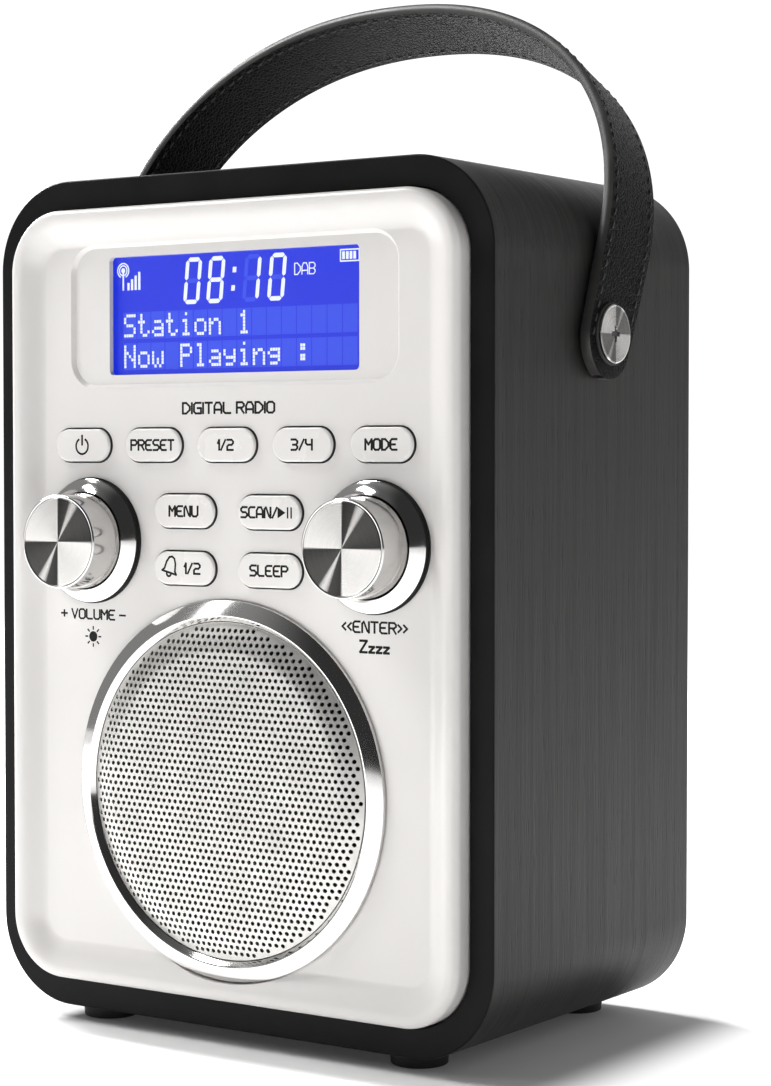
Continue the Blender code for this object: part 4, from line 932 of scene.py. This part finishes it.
def makeKnob(side, x):
    centre = (x, 0, knobRise)
    bore, edge, crest, seat = knob["ringBore"], knob["ringEdge"], knob["ringCrest"], knob["ringSeat"]
    wide, deep = edge - bore - 0.22, seat - 1.15 - crest
    shares = [i / 8 for i in range(9)]
    horn = [(bore + 0.12 + wide * t, crest + deep * (0.5 * t + 0.5 * (1 - (1 - t) ** 2))) for t in shares]
    gasket, base = edge + knob["gasket"], front["field"] - 0.05
    ring = [(bore, crest + 0.15), *horn, (edge, seat - 1.0), (edge, seat - 0.35), (gasket, seat - 0.35)]
    ring += [(gasket, base), (edge - 2.2, base), (edge - 2.2, 0.6), (bore, 0.6)]
    ring = turned(side + "KnobRing", centre, ring, 96, closed=True)
    hand(ring, "cabinet", chrome, side + "_knob_ring", 40)

    # the ring's outer wall is painted black: painted shade of the gap between the ring and the panel
    def paintedGapShade(polygon):
        middle = polygon.center - at(*centre)
        return math.hypot(middle.x, middle.z) > (edge - 0.12) * mm

    paintWhere(ring, coneBlackAndGapShade, paintedGapShade)

    face, radius, foot, cap, capBack = (knob[k] for k in ("face", "radius", "foot", "cap", "capBack"))
    wall, hub = knob["wall"], capBack + 1.2
    skirt = [(cap + 0.08, face + 0.12), *arc((radius - 0.35, face + 0.40), (0.35, 0.35), 270, 360, 5)]
    skirt += [(radius + 0.22, face / 2), (foot, seat), (foot - wall, seat), (radius - wall, hub), (4.0, hub)]
    skirt += [(4.0, -3.6), (3.2, -3.6), (3.2, capBack + 0.1), (cap + 0.08, capBack + 0.1)]
    skirt = turned(side + "KnobSkirt", centre, skirt, 96, closed=True)
    hand(skirt, side + "_knob", knobChrome, side + "_knob", 30)
    disc = [(r, face + 0.02) for r in (0.6, 2.5, 5.0, 7.5, cap - 0.12)]
    disc += [(cap, face + 0.14), (cap, capBack), (0.6, capBack)]
    # the knob's face has painted fans of highlight and shade in its colour
    finish = spunDiscPaintedFans(side + "SpunFaceWithPaintedFans", at(*centre), 0.97)
    disc = turned(side + "KnobFace", centre, disc, 96)
    hand(disc, side + "_knob", finish, side + "_knob_cap", 30)


print("radio: knobs")
for side, sideX in knobs.items():
    makeKnob(side, sideX)


# ---- the speaker

speaker = {
    "bore": 35.5, "inner": -3.35, "outer": -2.25, "grille": 35.2, "flat": 29.2, "edgeDepth": -2.2,
    "faceDepth": -4.3, "sheet": 0.5, "holePitch": 1.5, "rowPitch": 1.4, "hole": 0.47,
}


def makeSpeakerRing():
    bore, edge = speaker["bore"], front["ringOuter"]
    inner, outer = speaker["inner"], speaker["outer"]
    ring = [(bore, -2.3), (bore + 0.9, inner + 0.10), (bore + 1.2, inner), (bore + 2.6, inner + 0.45)]
    ring += [(edge - 0.45, outer - 0.12), (edge - 0.12, outer + 0.02), (edge, outer + 0.3)]
    ring += [(edge, -1.3), (36.4, -1.3), (36.4, 0.6), (bore, 0.6)]
    ring = turned("speakerRing", (0, 0, front["speaker"]), ring, 160, closed=True)
    hand(ring, "cabinet", chrome, "speaker_ring", 25)


def domeDepth(radius):
    # the grille's depth at a distance from its middle, in mm
    flat, edge = speaker["flat"], speaker["grille"]
    if radius <= flat:
        return speaker["faceDepth"] + 0.35 * (radius / flat) ** 2
    share = (radius - flat) / (edge - flat)
    low = speaker["faceDepth"] + 0.35
    return low + (speaker["edgeDepth"] - low) * share ** 1.5


def makeGrille():
    pitch, rowPitch, hole = (speaker[k] for k in ("holePitch", "rowPitch", "hole"))
    limit = speaker["grille"]
    corners = [(-1, -1), (0, -1), (1, -1), (1, 0), (1, 1), (0, 1), (-1, 1), (-1, 0)]
    corners = [(pitch / 2 * a, rowPitch / 2 * b) for a, b in corners]
    around = arc((0, 0), (hole, hole), 225, 540, 7)
    mesh = bmesh.new()
    rows = int(limit / rowPitch) + 1
    columns = int(limit / pitch) + 1
    for row in range(-rows, rows + 1):
        shift = pitch / 2 if row % 2 else 0.0
        for column in range(-columns - 1, columns + 1):
            x, z = column * pitch + shift, row * rowPitch
            far = math.hypot(x, z)
            if far > limit + pitch:
                continue
            outer = [mesh.verts.new((x + a, 0, z + b)) for a, b in corners]
            if far > limit - 0.6:
                mesh.faces.new(outer)
                continue
            inner = [mesh.verts.new((x + a, 0, z + b)) for a, b in around]
            for i in range(8):
                j = (i + 1) % 8
                mesh.faces.new((outer[i], outer[j], inner[j], inner[i]))
    bmesh.ops.remove_doubles(mesh, verts=mesh.verts, dist=0.01)
    grille = meshPiece("speakerGrille", mesh)
    data = grille.data
    workOn(grille)
    editMode()
    for index in range(96):  # trims the sheet to a round
        angle = 2 * math.pi * (index + 0.5) / 96
        way = (math.cos(angle), 0, math.sin(angle))
        bpy.ops.mesh.select_all(action="SELECT")
        bpy.ops.mesh.bisect(plane_co=Vector(way) * limit, plane_no=way, clear_outer=True)
    objectMode()
    for vertex in data.vertices:
        x, z = vertex.co.x, vertex.co.z
        vertex.co = at(x, domeDepth(min(math.hypot(x, z), limit)), front["speaker"] + z)
    editMode()
    evenNormals()
    objectMode()
    if data.polygons[0].normal.y > 0:
        data.flip_normals()
    modify(grille, "SOLIDIFY", thickness=speaker["sheet"] * mm, offset=-1)
    hand(grille, "cabinet", grilleMetal, "speaker_grille", 40, False)
    centre = (0, 0, front["speaker"])
    cup = [(35.3, -2.2), (35.3, 0.6), (34.6, 0.6), (34.6, -2.0)]
    hand(turned("grilleRim", centre, cup, 128, closed=True), "cabinet", grilleMetal)
    cloth = [(34.4, 0.0), (29.0, -0.6), (0.8, -0.8), (0.8, -0.4), (29.0, -0.2), (34.4, 0.4)]
    hand(turned("speakerCloth", centre, cloth, 64), "cabinet", coneBlackAndGapShade)


print("radio: speaker")
makeSpeakerRing()
makeGrille()


# ---- the strap

strap = {
    "width": 19.0, "thick": 2.3, "outer": 67.5, "straight": 18.0, "reach": 78.3, "fullness": 2.2,
    "lean": 21.5, "axis": (cabinetDeep / 2, 145.5), "taper": 1.4, "taperLong": 60.0,
    "stitchIn": 1.7, "stitchPitch": 2.9, "stitchLong": 2.1,
}


def strapLine(count):
    # the middle of the strap, evenly spaced: (x, reach from the screws' axis), in mm
    half = strap["outer"] - strap["thick"] / 2
    rise = strap["reach"] - strap["thick"] / 2 - strap["straight"]
    raw = [(half, -strap["width"] / 2), (half, 0.0)]
    for step in range(401):
        angle = math.pi * step / 400
        across = math.copysign(abs(math.cos(angle)) ** (2 / strap["fullness"]), math.cos(angle))
        up = max(math.sin(angle), 0) ** (2 / strap["fullness"])
        raw.append((half * across, strap["straight"] + rise * up))
    raw += [(-half, 0.0), (-half, -strap["width"] / 2)]
    lengths = [0.0]
    for a, b in zip(raw, raw[1:]):
        lengths.append(lengths[-1] + math.hypot(b[0] - a[0], b[1] - a[1]))
    total = lengths[-1]
    line, index = [], 0
    for step in range(count + 1):
        want = total * step / count
        while index < len(lengths) - 2 and lengths[index + 1] < want:
            index += 1
        share = (want - lengths[index]) / max(lengths[index + 1] - lengths[index], 1e-9)
        line.append(tuple(raw[index][k] + (raw[index + 1][k] - raw[index][k]) * share for k in (0, 1)))
    return line, total


def strapPlace(x, reach, across):
    # a point of the strap as it stands, leant back
    lean = math.radians(strap["lean"])
    depth = strap["axis"][0] + reach * math.sin(lean) + across * math.cos(lean)
    rise = strap["axis"][1] + reach * math.cos(lean) - across * math.sin(lean)
    return at(x, depth, rise)


def strapFrame(line, index):
    # the way along the strap and the way out of its face, at one point of its line
    before, after = line[max(index - 1, 0)], line[min(index + 1, len(line) - 1)]
    dx, dr = after[0] - before[0], after[1] - before[1]
    length = math.hypot(dx, dr)
    return (dx / length, dr / length), (dr / length, -dx / length)


def narrowing(far):
    # how much the strap narrows on each side, at a distance from its end
    return strap["taper"] * (1 - min(far / strap["taperLong"], 1)) ** 2


def makeStrap():
    half = strap["width"] / 2
    radius = half - strap["taper"]
    count = 6000
    fine, total = strapLine(count)
    bend = [radius * (1 - math.cos(math.pi / 2 * i / 10)) for i in range(1, 10)]
    middle = [radius + (total - 2 * radius) * i / 120 for i in range(121)]
    places = [0.02] + bend + middle + [total - far for far in reversed(bend)] + [total - 0.02]
    line = [fine[round(place / total * count)] for place in places]
    # the cross-section goes round: across the width, and out from the middle of the thickness
    section = [(-1, -0.5), (-1, -0.17), (-1, 0.17), (-1, 0.5), (-0.55, 0.5), (0, 0.5), (0.55, 0.5),
               (1, 0.5), (1, 0.17), (1, -0.17), (1, -0.5), (0.55, -0.5), (0, -0.5), (-0.55, -0.5)]
    size = len(section)
    mesh = bmesh.new()
    layer = mesh.loops.layers.uv.new("along")
    rings = []
    for index, (x, reach) in enumerate(line):
        far = min(places[index], total - places[index])
        width = half - narrowing(far)
        if far < radius:
            width *= math.sqrt(1 - (1 - far / radius) ** 2)
        _, out = strapFrame(line, index)
        ring = []
        for across, through in section:
            w, t = across * width, through * strap["thick"]
            if abs(across) == 1:
                w += across * (0.22 if abs(through) == 0.17 else -0.05)
            elif across:
                t += math.copysign(0.05, through)
            ring.append(mesh.verts.new(strapPlace(x + out[0] * t, reach + out[1] * t, w)))
        rings.append(ring)
    for a, b, start, end in zip(rings, rings[1:], places, places[1:]):
        for k in range(size):
            m = (k + 1) % size
            face = mesh.faces.new((a[k], a[m], b[m], b[k]))
            wides = [section[j][0] * half + section[j][1] * 40 for j in (k, m, m, k)]
            for loop, wide, long in zip(face.loops, wides, (start, start, end, end)):
                loop[layer].uv = (long * mm, wide * mm)
            face.material_index = 1 if section[k][0] == section[m][0] else 0
            face.smooth = True
    mesh.faces.new(rings[0])
    mesh.faces.new(list(reversed(rings[-1])))
    bmesh.ops.recalc_face_normals(mesh, faces=mesh.faces)
    piece = meshPiece("strapLeather", mesh)
    piece.data.materials.append(leather)
    piece.data.materials.append(strapEdge)
    soften(piece, 0.22, 2, 50)
    for x in (-1, 1):
        place = (x * strap["outer"], *strap["axis"])
        combine(piece, turned("strapHole", place, [(2.3, -5), (2.3, 5)], 32, "X"))
    hand(piece, "strap", None, "handle_strap", 45)
    makeStitches(half, radius)


def makeStitches(half, radius):
    # one stitch, copied along both edges of both faces
    bpy.ops.mesh.primitive_uv_sphere_add(segments=8, ring_count=6, radius=1)
    stitch = named("stitch")
    shape = [tuple(v.co) for v in stitch.data.vertices]
    faces = [tuple(p.vertices) for p in stitch.data.polygons]
    bpy.data.objects.remove(stitch, do_unlink=True)
    mesh = bmesh.new()
    line, total = strapLine(600)
    number = int((total - 2 * radius) / strap["stitchPitch"])
    for face, edge in ((-1, -1), (-1, 1), (1, -1), (1, 1)):
        for step in range(number + 1):
            place = radius * 0.9 + (total - 1.8 * radius) * step / number
            index = round(place / total * 600)
            x, reach = line[index]
            along, out = strapFrame(line, index)
            t = face * (strap["thick"] / 2 + 0.02)
            inset = strap["stitchIn"] + narrowing(min(place, total - place))
            made = []
            for a, b, c in shape:
                s = a * strap["stitchLong"] / 2
                w = edge * (half - inset) + b * 0.26 + a * 0.10
                n = t + face * (c * 0.20 - 0.10 * a * a)
                middle = (x + along[0] * s + out[0] * n, reach + along[1] * s + out[1] * n)
                made.append(mesh.verts.new(strapPlace(*middle, w)))
            for indices in faces:
                mesh.faces.new([made[i] for i in indices])
    bmesh.ops.recalc_face_normals(mesh, faces=mesh.faces)
    hand(meshPiece("strapStitches", mesh), "strap", thread, None, 60, False)


stud = {"head": 6.1, "foot": 67.35, "thick": 1.25, "cross": (3.4, 1.0)}


def makeStud(side, sign):
    centre = (0, *strap["axis"])
    foot, head = stud["foot"], stud["head"]
    top = foot + stud["thick"]
    washer = [(2.2, foot - 0.1), (6.35, foot - 0.1), (6.5, foot + 0.05)]
    washer += [(6.5, foot + 0.55), (6.3, foot + 0.7), (2.2, foot + 0.7)]
    washer = turned(side + "StrapWasher", centre, [(r, sign * d) for r, d in washer], 64, "X", closed=True)
    hand(washer, "cabinet", footRubber, f"strap_washer_{side}", 40)
    screw = [(0.5, top), (head - 0.45, top), (head - 0.32, top + 0.06), (head - 0.12, top + 0.03)]
    screw += [(head, top - 0.12), (head, foot + 0.8), (2.0, foot + 0.8), (2.0, foot - 9), (0.5, foot - 9)]
    screw = turned(side + "StrapScrew", centre, [(r, sign * d) for r, d in screw], 72, "X")
    long, wide = stud["cross"]
    for size in ((1.0, long, wide), (1.0, wide, long)):
        combine(screw, block("slot", size, (sign * (top + 0.1), *strap["axis"]), 0.0))
    soften(screw, 0.08, 2, 50)
    # the screw's face has painted fans of highlight and shade in its colour
    face = spunDiscPaintedFans(side + "ScrewFaceWithPaintedFans", at(*centre), 0.72, (0, 0, math.pi / 2), "X")
    hand(screw, "cabinet", face, f"strap_screw_{side}", 30)

    # the cross recess is painted dark steel: painted shade in the recess
    def paintedRecessShade(polygon):
        middle = polygon.center - at(*centre)
        return abs(middle.x) < (top - 0.2) * mm and math.hypot(middle.y, middle.z) < long * mm * 0.6

    paintWhere(screw, darkSteelAndRecessShade, paintedRecessShade)


print("radio: strap")
makeStrap()
makeStud("left", -1)
makeStud("right", 1)


# ---- the printed words on the front

words = {
    # what it says, x, rise, height of the letters, stroke, how wide the letters run
    "panelName": ("DIGITAL RADIO", 0.0, 130.4, 2.2, 0.54, 1.26),
    "volumeWord": ("+ VOLUME -", -37.0, 86.2, 2.0, 0.48, 1.20),
    "enterWord": ("<<ENTER>>", 37.0, 86.1, 2.15, 0.50, 1.16),
    "sleepWord": ("Zzzz", 37.0, 82.2, 2.3, 0.58, 1.10),
}
sun = {"middle": (-37.0, 81.4), "disc": 1.15, "ray": (1.45, 2.25, 0.17)}  # a ray's start, end and half width


def makeWords():
    for name, (text, x, rise, tall, weight, stretch) in words.items():
        piece = strokeMesh(name, wordLines(text, x, rise, tall, stretch), weight, front["field"])
        hand(piece, "cabinet", ink, weighted=False)
    x, rise = sun["middle"]
    near, far, half = sun["ray"]
    shapes = [disc(x, rise, sun["disc"], 20)]
    for index in range(8):
        a, b = math.cos(math.radians(45 * index)), math.sin(math.radians(45 * index))
        corners = ((near, half), (near, -half), (far, -half), (far, half))
        shapes.append([(x + a * along - b * aside, rise + b * along + a * aside) for along, aside in corners])
    hand(plates("sunMark", shapes, front["field"]), "cabinet", ink, weighted=False)


print("radio: printing")
makeWords()


# ---- the feet


def makeFoot(end, side):
    node = f"foot_{end}_{side}"
    (x, depth, _), size = middleOf(node)
    radius = size.x / 2
    profile = [(2.0, -2.6), (2.6, -3.0), (radius - 0.7, -3.0)]
    profile += arc((radius - 0.6, -2.6), (0.5, 0.4), 270, 360, 4)
    profile += [(radius, -0.8), (radius, 0.0), (1.0, 0.0)]
    foot = turned(f"{end}{side.title()}Foot", (x, depth, 0), profile, 40, "Z")
    hand(foot, "cabinet", footRubber, node, 40)


print("radio: feet")
for end in ("front", "rear"):
    for side in ("left", "right"):
        makeFoot(end, side)


# ---- the back, its door, sockets and screws

back = {"wall": 3.0, "recess": 1.0, "door": (76.0, 43.0, 31.0), "lap": 2.0, "vents": 11, "vent": (34.0, 1.5)}
backFace = cabinetDeep - back["recess"]
backScrews = [(end, side) for side in ("left", "right") for end in ("upper", "lower")]


def makeBack():
    _, size = middleOf("back_panel")
    face = backFace
    inner = face - back["wall"]
    panel = between("backBoard", size.x, size.z, (inner, face), 0, cabinetTall / 2, innerCorner + 0.3, 20)
    soften(panel, 0.6, 3, 50)
    doorWide, doorTall, doorRise = back["door"]
    lap = back["lap"]
    trayWide, trayTall = doorWide - 2 * lap, doorTall - 2 * lap
    trayFront = (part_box("back_panel")[0].y - frontEdge) / mm
    combine(panel, between("tray", trayWide + 4, trayTall + 4, (trayFront, face - 0.6), 0, doorRise), "UNION")
    combine(panel, between("hollow", trayWide, trayTall, (trayFront + 2, face + 1), 0, doorRise))
    seat = (doorWide + 0.5, doorTall + 0.5, (face - 2.3, face + 1))
    combine(panel, between("step", *seat, 0, doorRise, lap, 5))
    bores = [(f"back_screw_{end}_{side}", 1.7, 24) for end, side in backScrews]
    bores += [("power_jack", 5.15, 40), ("headphone_jack", 5.15, 40), ("aerial_base", 1.7, 24)]
    for node, radius, sides in bores:
        (boreX, _, boreRise), _ = middleOf(node)
        combine(panel, turned("bore", (boreX, 0, boreRise), [(radius, inner - 1), (radius, face + 1)], sides))
    for index in range(back["vents"]):
        combine(panel, between("vent", *back["vent"], (inner - 1, face + 1), 8, 84 + 4.0 * index, 0.7, 3))
    restX, restRise = -36.0, cabinetTall - 36.9  # the folded aerial lies on this rest
    combine(panel, between("rest", 4.0, 4.0, (face - 1, face + 4.4), restX, restRise), "UNION")
    soften(panel, 0.2, 2, 60)
    hand(panel, "cabinet", backPlastic, "back_panel")

    lid = between("batteryLid", doorWide, doorTall, (face - 2, face), 0, doorRise, lap, 6)
    soften(lid, 0.35, 3, 50)
    for index in range(7):
        rise = doorRise + 9 + 1.7 * index
        combine(lid, between("groove", 16, 0.8, (face - 0.5, face + 1), 0, rise, 0.35, 3))
    latch = between("latch", 12, 3.2, (face - 1, face + 0.45), 0, doorRise + doorTall / 2 - 2.6, 0.8, 4)
    combine(lid, latch, "UNION")
    soften(lid, 0.12, 2, 50)
    hand(lid, "battery_door", backPlastic, "battery_door")


def makeBackScrew(end, side):
    node = f"back_screw_{end}_{side}"
    (x, _, rise), size = middleOf(node)
    head, face = size.x / 2, backFace
    top = (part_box(node)[1].y - frontEdge) / mm
    profile = [(0.4, top), *arc((head - 0.9, top - 0.9), (0.9, 0.9), 90, 0, 5)]
    profile += [(head, face + 0.3), (1.3, face + 0.3), (1.3, face - 11), (0.4, face - 11)]
    screw = turned(f"{end}{side.title()}Screw", (x, 0, rise), profile, 40)
    for wide, tall in ((2.6, 0.55), (0.55, 2.6)):
        combine(screw, between("slot", wide, tall, (top - 0.7, top + 0.5), x, rise))
    hand(screw, "cabinet", darkSteelAndRecessShade, node)


def makeSocket(kind, bore, pin):
    node, face = kind + "_jack", backFace
    (x, _, rise), _ = middleOf(node)
    centre = (x, 0, rise)
    profile = [(bore, face - 9.5), (bore, face - 0.3), (bore + 0.3, face), (4.1, face), (4.8, face - 0.6)]
    profile += [(4.8, face - 12), (0.5, face - 12), (0.5, face - 9.5)]
    hand(turned(kind + "Jack", centre, profile, 48), "cabinet", innerPlasticAndGapShade, node)
    outer, inner = bore - 0.02, bore - 0.25
    sleeve = [(inner, face - 8), (inner, face - 0.8), (outer, face - 0.8), (outer, face - 8)]
    sleeve = turned(kind + "Contact", centre, sleeve, 32, closed=True)
    hand(sleeve, "cabinet", plainSteel)
    if pin:
        shaft = [(pin, face - 9.4), (pin, face - 2.5), (pin * 0.5, face - 2.0)]
        hand(turned(kind + "Pin", centre, shaft, 24), "cabinet", plainSteel)


print("radio: back")
makeBack()
for end, side in backScrews:
    makeBackScrew(end, side)
makeSocket("power", 2.8, 0.7)
makeSocket("headphone", 1.8, 0.0)


# ---- the aerial

aerial = {
    "pin": (44.0, 148.0), "radii": (2.6, 1.95, 1.3), "rod": 0.65, "length": 88.0, "step": 1.0, "wall": 0.35,
}


def makeAerial():
    x, rise = aerial["pin"]
    end = (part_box("aerial_base")[1].y - frontEdge) / mm
    (_, mastDepth, _), _ = middleOf("aerial_tube_1")
    centre, face = (x, mastDepth, rise), backFace
    base = [(0.5, face + 1.4), (5.7, face + 1.4), (6.0, face + 1.1), (6.0, face + 0.3), (1.3, face + 0.3)]
    base = turned("aerialBase", (x, 0, rise), base + [(1.3, face - 3), (0.5, face - 3)], 64)
    for sign in (-1, 1):
        size = (6.8, end - face - 1.0, 1.4)
        middle = (x, (face + 1.0 + end) / 2, rise + sign * 3.08)
        combine(base, block("ear", size, middle, 3.0, 12, "Z"), "UNION")
    combine(base, turned("pin", centre, [(1.0, -4.3), (1.0, 4.3)], 24, "Z"), "UNION")
    soften(base, 0.15, 2, 50)
    hand(base, "aerial_swivel", chrome, "aerial_base")

    reach, start = -aerial["length"], 5.0
    bodies = ("aerial_mast", "aerial_section_2", "aerial_section_3")
    for number, (body, radius) in enumerate(zip(bodies, aerial["radii"]), 1):
        bore = radius - aerial["wall"]
        profile = [(bore, -start - 1.0), (bore, reach + 0.2), (radius - 0.15, reach), (radius, reach + 0.15)]
        profile += [(radius, -start + 1.0), (0.3, -start + 1.0), (0.3, -start - 1.0)]
        tube = turned(f"aerialTube{number}", centre, profile, 40, "X")
        if number == 1:
            size = (8.0, 2 * radius, 2 * radius * 0.8)
            combine(tube, block("root", size, (x - 1.6, mastDepth, rise), radius - 0.1, 8, "Z"), "UNION")
            combine(tube, turned("eye", centre, [(1.25, -4), (1.25, 4)], 24, "Z"))
        hand(tube, body, chrome, f"aerial_tube_{number}")
        reach -= aerial["step"]
        start += 1.3
    reach += aerial["step"] - 0.3
    rod = aerial["rod"]
    tip = [(0.4, reach - 4.0), (1.5, reach - 4.0), (2.1, reach - 3.5), (2.34, reach - 3.0)]
    tip += [(2.34, reach - 0.3), (2.1, reach), (rod, reach), (rod, -start), (0.3, -start)]
    hand(turned("aerialTip", centre, tip, 32, "X"), "aerial_rod", chrome, "aerial_tip")


print("radio: aerial")
makeAerial()


# ---- the works inside keep their own shapes and get their finishes

inside = {
    "lcd_backlight": guideWhite, "control_board": board, "main_board": board, "battery_pack": cellBlue,
    "speaker_gasket": footRubber, "speaker_basket": darkSteelAndRecessShade, "speaker_magnet": darkSteelAndRecessShade,
    "speaker_cone": coneBlackAndGapShade, "speaker_surround": footRubber, "strap_insert_left": brass,
    "strap_insert_right": brass,
}
for side in knobs:
    inside[side + "_encoder"] = innerPlasticAndGapShade
    inside[side + "_detent_wheel"] = brass
    inside[side + "_shaft"] = plainSteel
print("radio: works inside")
for node, material in inside.items():
    finishWith(nodes[node], material)


# ---- floor, lights and camera

studio = {
    "floor": 12.0,
    "floorGlow": (0.03, 0.86),
    # the zone where the floor's glow is cut: a painted shadow under the radio and beside its right side
    "paintedShade": {"X": (-68, -60, 68, 88), "Y": (-53, -46, 42, 66)},  # mm: begins, full, full, gone
    "room": 0.30,
    "backdrop": 1.1,
    # parts of the room round the radio: (towards, full within, gone beyond, level), angles in degrees
    "zones": (
        ((0, 0, 1), 30, 60, 0.12),
        ((0.45, -0.87, 0.25), 38, 62, 0.04),
        ((-0.566, 0.824, 0), 32, 55, 1.1),
    ),
    "camera": (331.9, -426.5, 120.65),  # x, depth and rise, mm
    "turn": 34.5,
    "tilt": -1.95,
    "lens": 85.9,
    # name, place and aim in metres, size, power
    "lights": (
        ("keyLight", (-0.98, -0.95, 0.75), (0, 0, 0.1), (0.16, 0.60), 1.2),
        ("topLight", (-0.60, -0.30, 0.95), (0, 0, 0.1), (0.22, 0.36), 7.0),
        ("leftLight", (-0.95, 0.22, 0.70), (0, 0, 0.05), (0.30, 0.30), 22),
        ("sideLight", (1.0, 0.35, 0.6), (0.05, 0, 0.1), (0.5, 0.8), 1.2),
    ),
}


def makeFloor():
    # the floor glows, except in a soft-edged zone round the radio, shaped like its shadow, where the glow is
    # cut low: a painted shadow, inside which the lamps' own shadows show
    bpy.ops.mesh.primitive_plane_add(size=studio["floor"], location=(0, 0, 0))
    floor = named("studioFloor")
    finish = Finish("floorWhite", (0.90, 0.90, 0.90), 0.8, Specular_IOR_Level=0.0, Emission_Strength=1.0)
    tree = finish.tree
    split = addNode(tree, "ShaderNodeSeparateXYZ", None, {0: finish.where})
    paintedShadowZone = 1.0
    for axis, (begins, full, stays, gone) in studio["paintedShade"].items():
        for start, end in ((begins, full), (gone, stays)):
            edge = rangeNode(tree, split.outputs[axis], start * mm, end * mm, kind="SMOOTHSTEP")
            paintedShadowZone = mathNode(tree, "MULTIPLY", paintedShadowZone, edge)
    near, away = studio["floorGlow"]
    finish.vary("Emission Color", paintedShadowZone, (away, away, away), (near, near, near))
    floor.data.materials.append(finish.material)


def makeRoom():
    world = bpy.data.worlds.new("studioWorld")
    bpy.context.scene.world = world
    world.use_nodes = True
    tree = world.node_tree
    way = addNode(tree, "ShaderNodeTexCoord").outputs["Generated"]
    level = studio["room"]
    for heading, inner, outer, value in studio["zones"]:
        values = {0: way, 1: Vector(heading).normalized()}
        toward = addNode(tree, "ShaderNodeVectorMath", {"operation": "DOT_PRODUCT"}, values).outputs["Value"]
        low, high = math.cos(math.radians(outer)), math.cos(math.radians(inner))
        mask = rangeNode(tree, toward, low, high, kind="SMOOTHSTEP")
        level = addNode(tree, "ShaderNodeMix", None, {0: mask, 2: level, 3: value}).outputs[0]
    # behind everything the room is plain white
    seen = addNode(tree, "ShaderNodeLightPath").outputs["Is Camera Ray"]
    level = addNode(tree, "ShaderNodeMix", None, {0: seen, 2: level, 3: studio["backdrop"]}).outputs[0]
    tree.links.new(level, tree.nodes["Background"].inputs["Color"])


def makeLight(name, place, aim, size, power):
    light = bpy.data.lights.new(name, "AREA")
    light.shape = "RECTANGLE"
    light.size, light.size_y = size
    light.energy = power
    lamp = newPiece(name, light)
    lamp.location = place
    lamp.rotation_euler = (Vector(aim) - Vector(place)).to_track_quat("-Z", "Y").to_euler()


def makeCamera():
    camera = bpy.data.cameras.new("studioCamera")
    camera.lens = studio["lens"]
    camera.sensor_width = 36
    camera.clip_start = 0.01
    eye = newPiece("studioCamera", camera)
    eye.location = at(*studio["camera"])
    eye.rotation_euler = (math.radians(90 + studio["tilt"]), 0, math.radians(studio["turn"]))
    bpy.context.scene.camera = eye
    bpy.context.scene.view_settings.view_transform = "Standard"


print("radio: studio")
makeFloor()
makeRoom()
for light in studio["lights"]:
    makeLight(*light)
makeCamera()

print("radio: done")
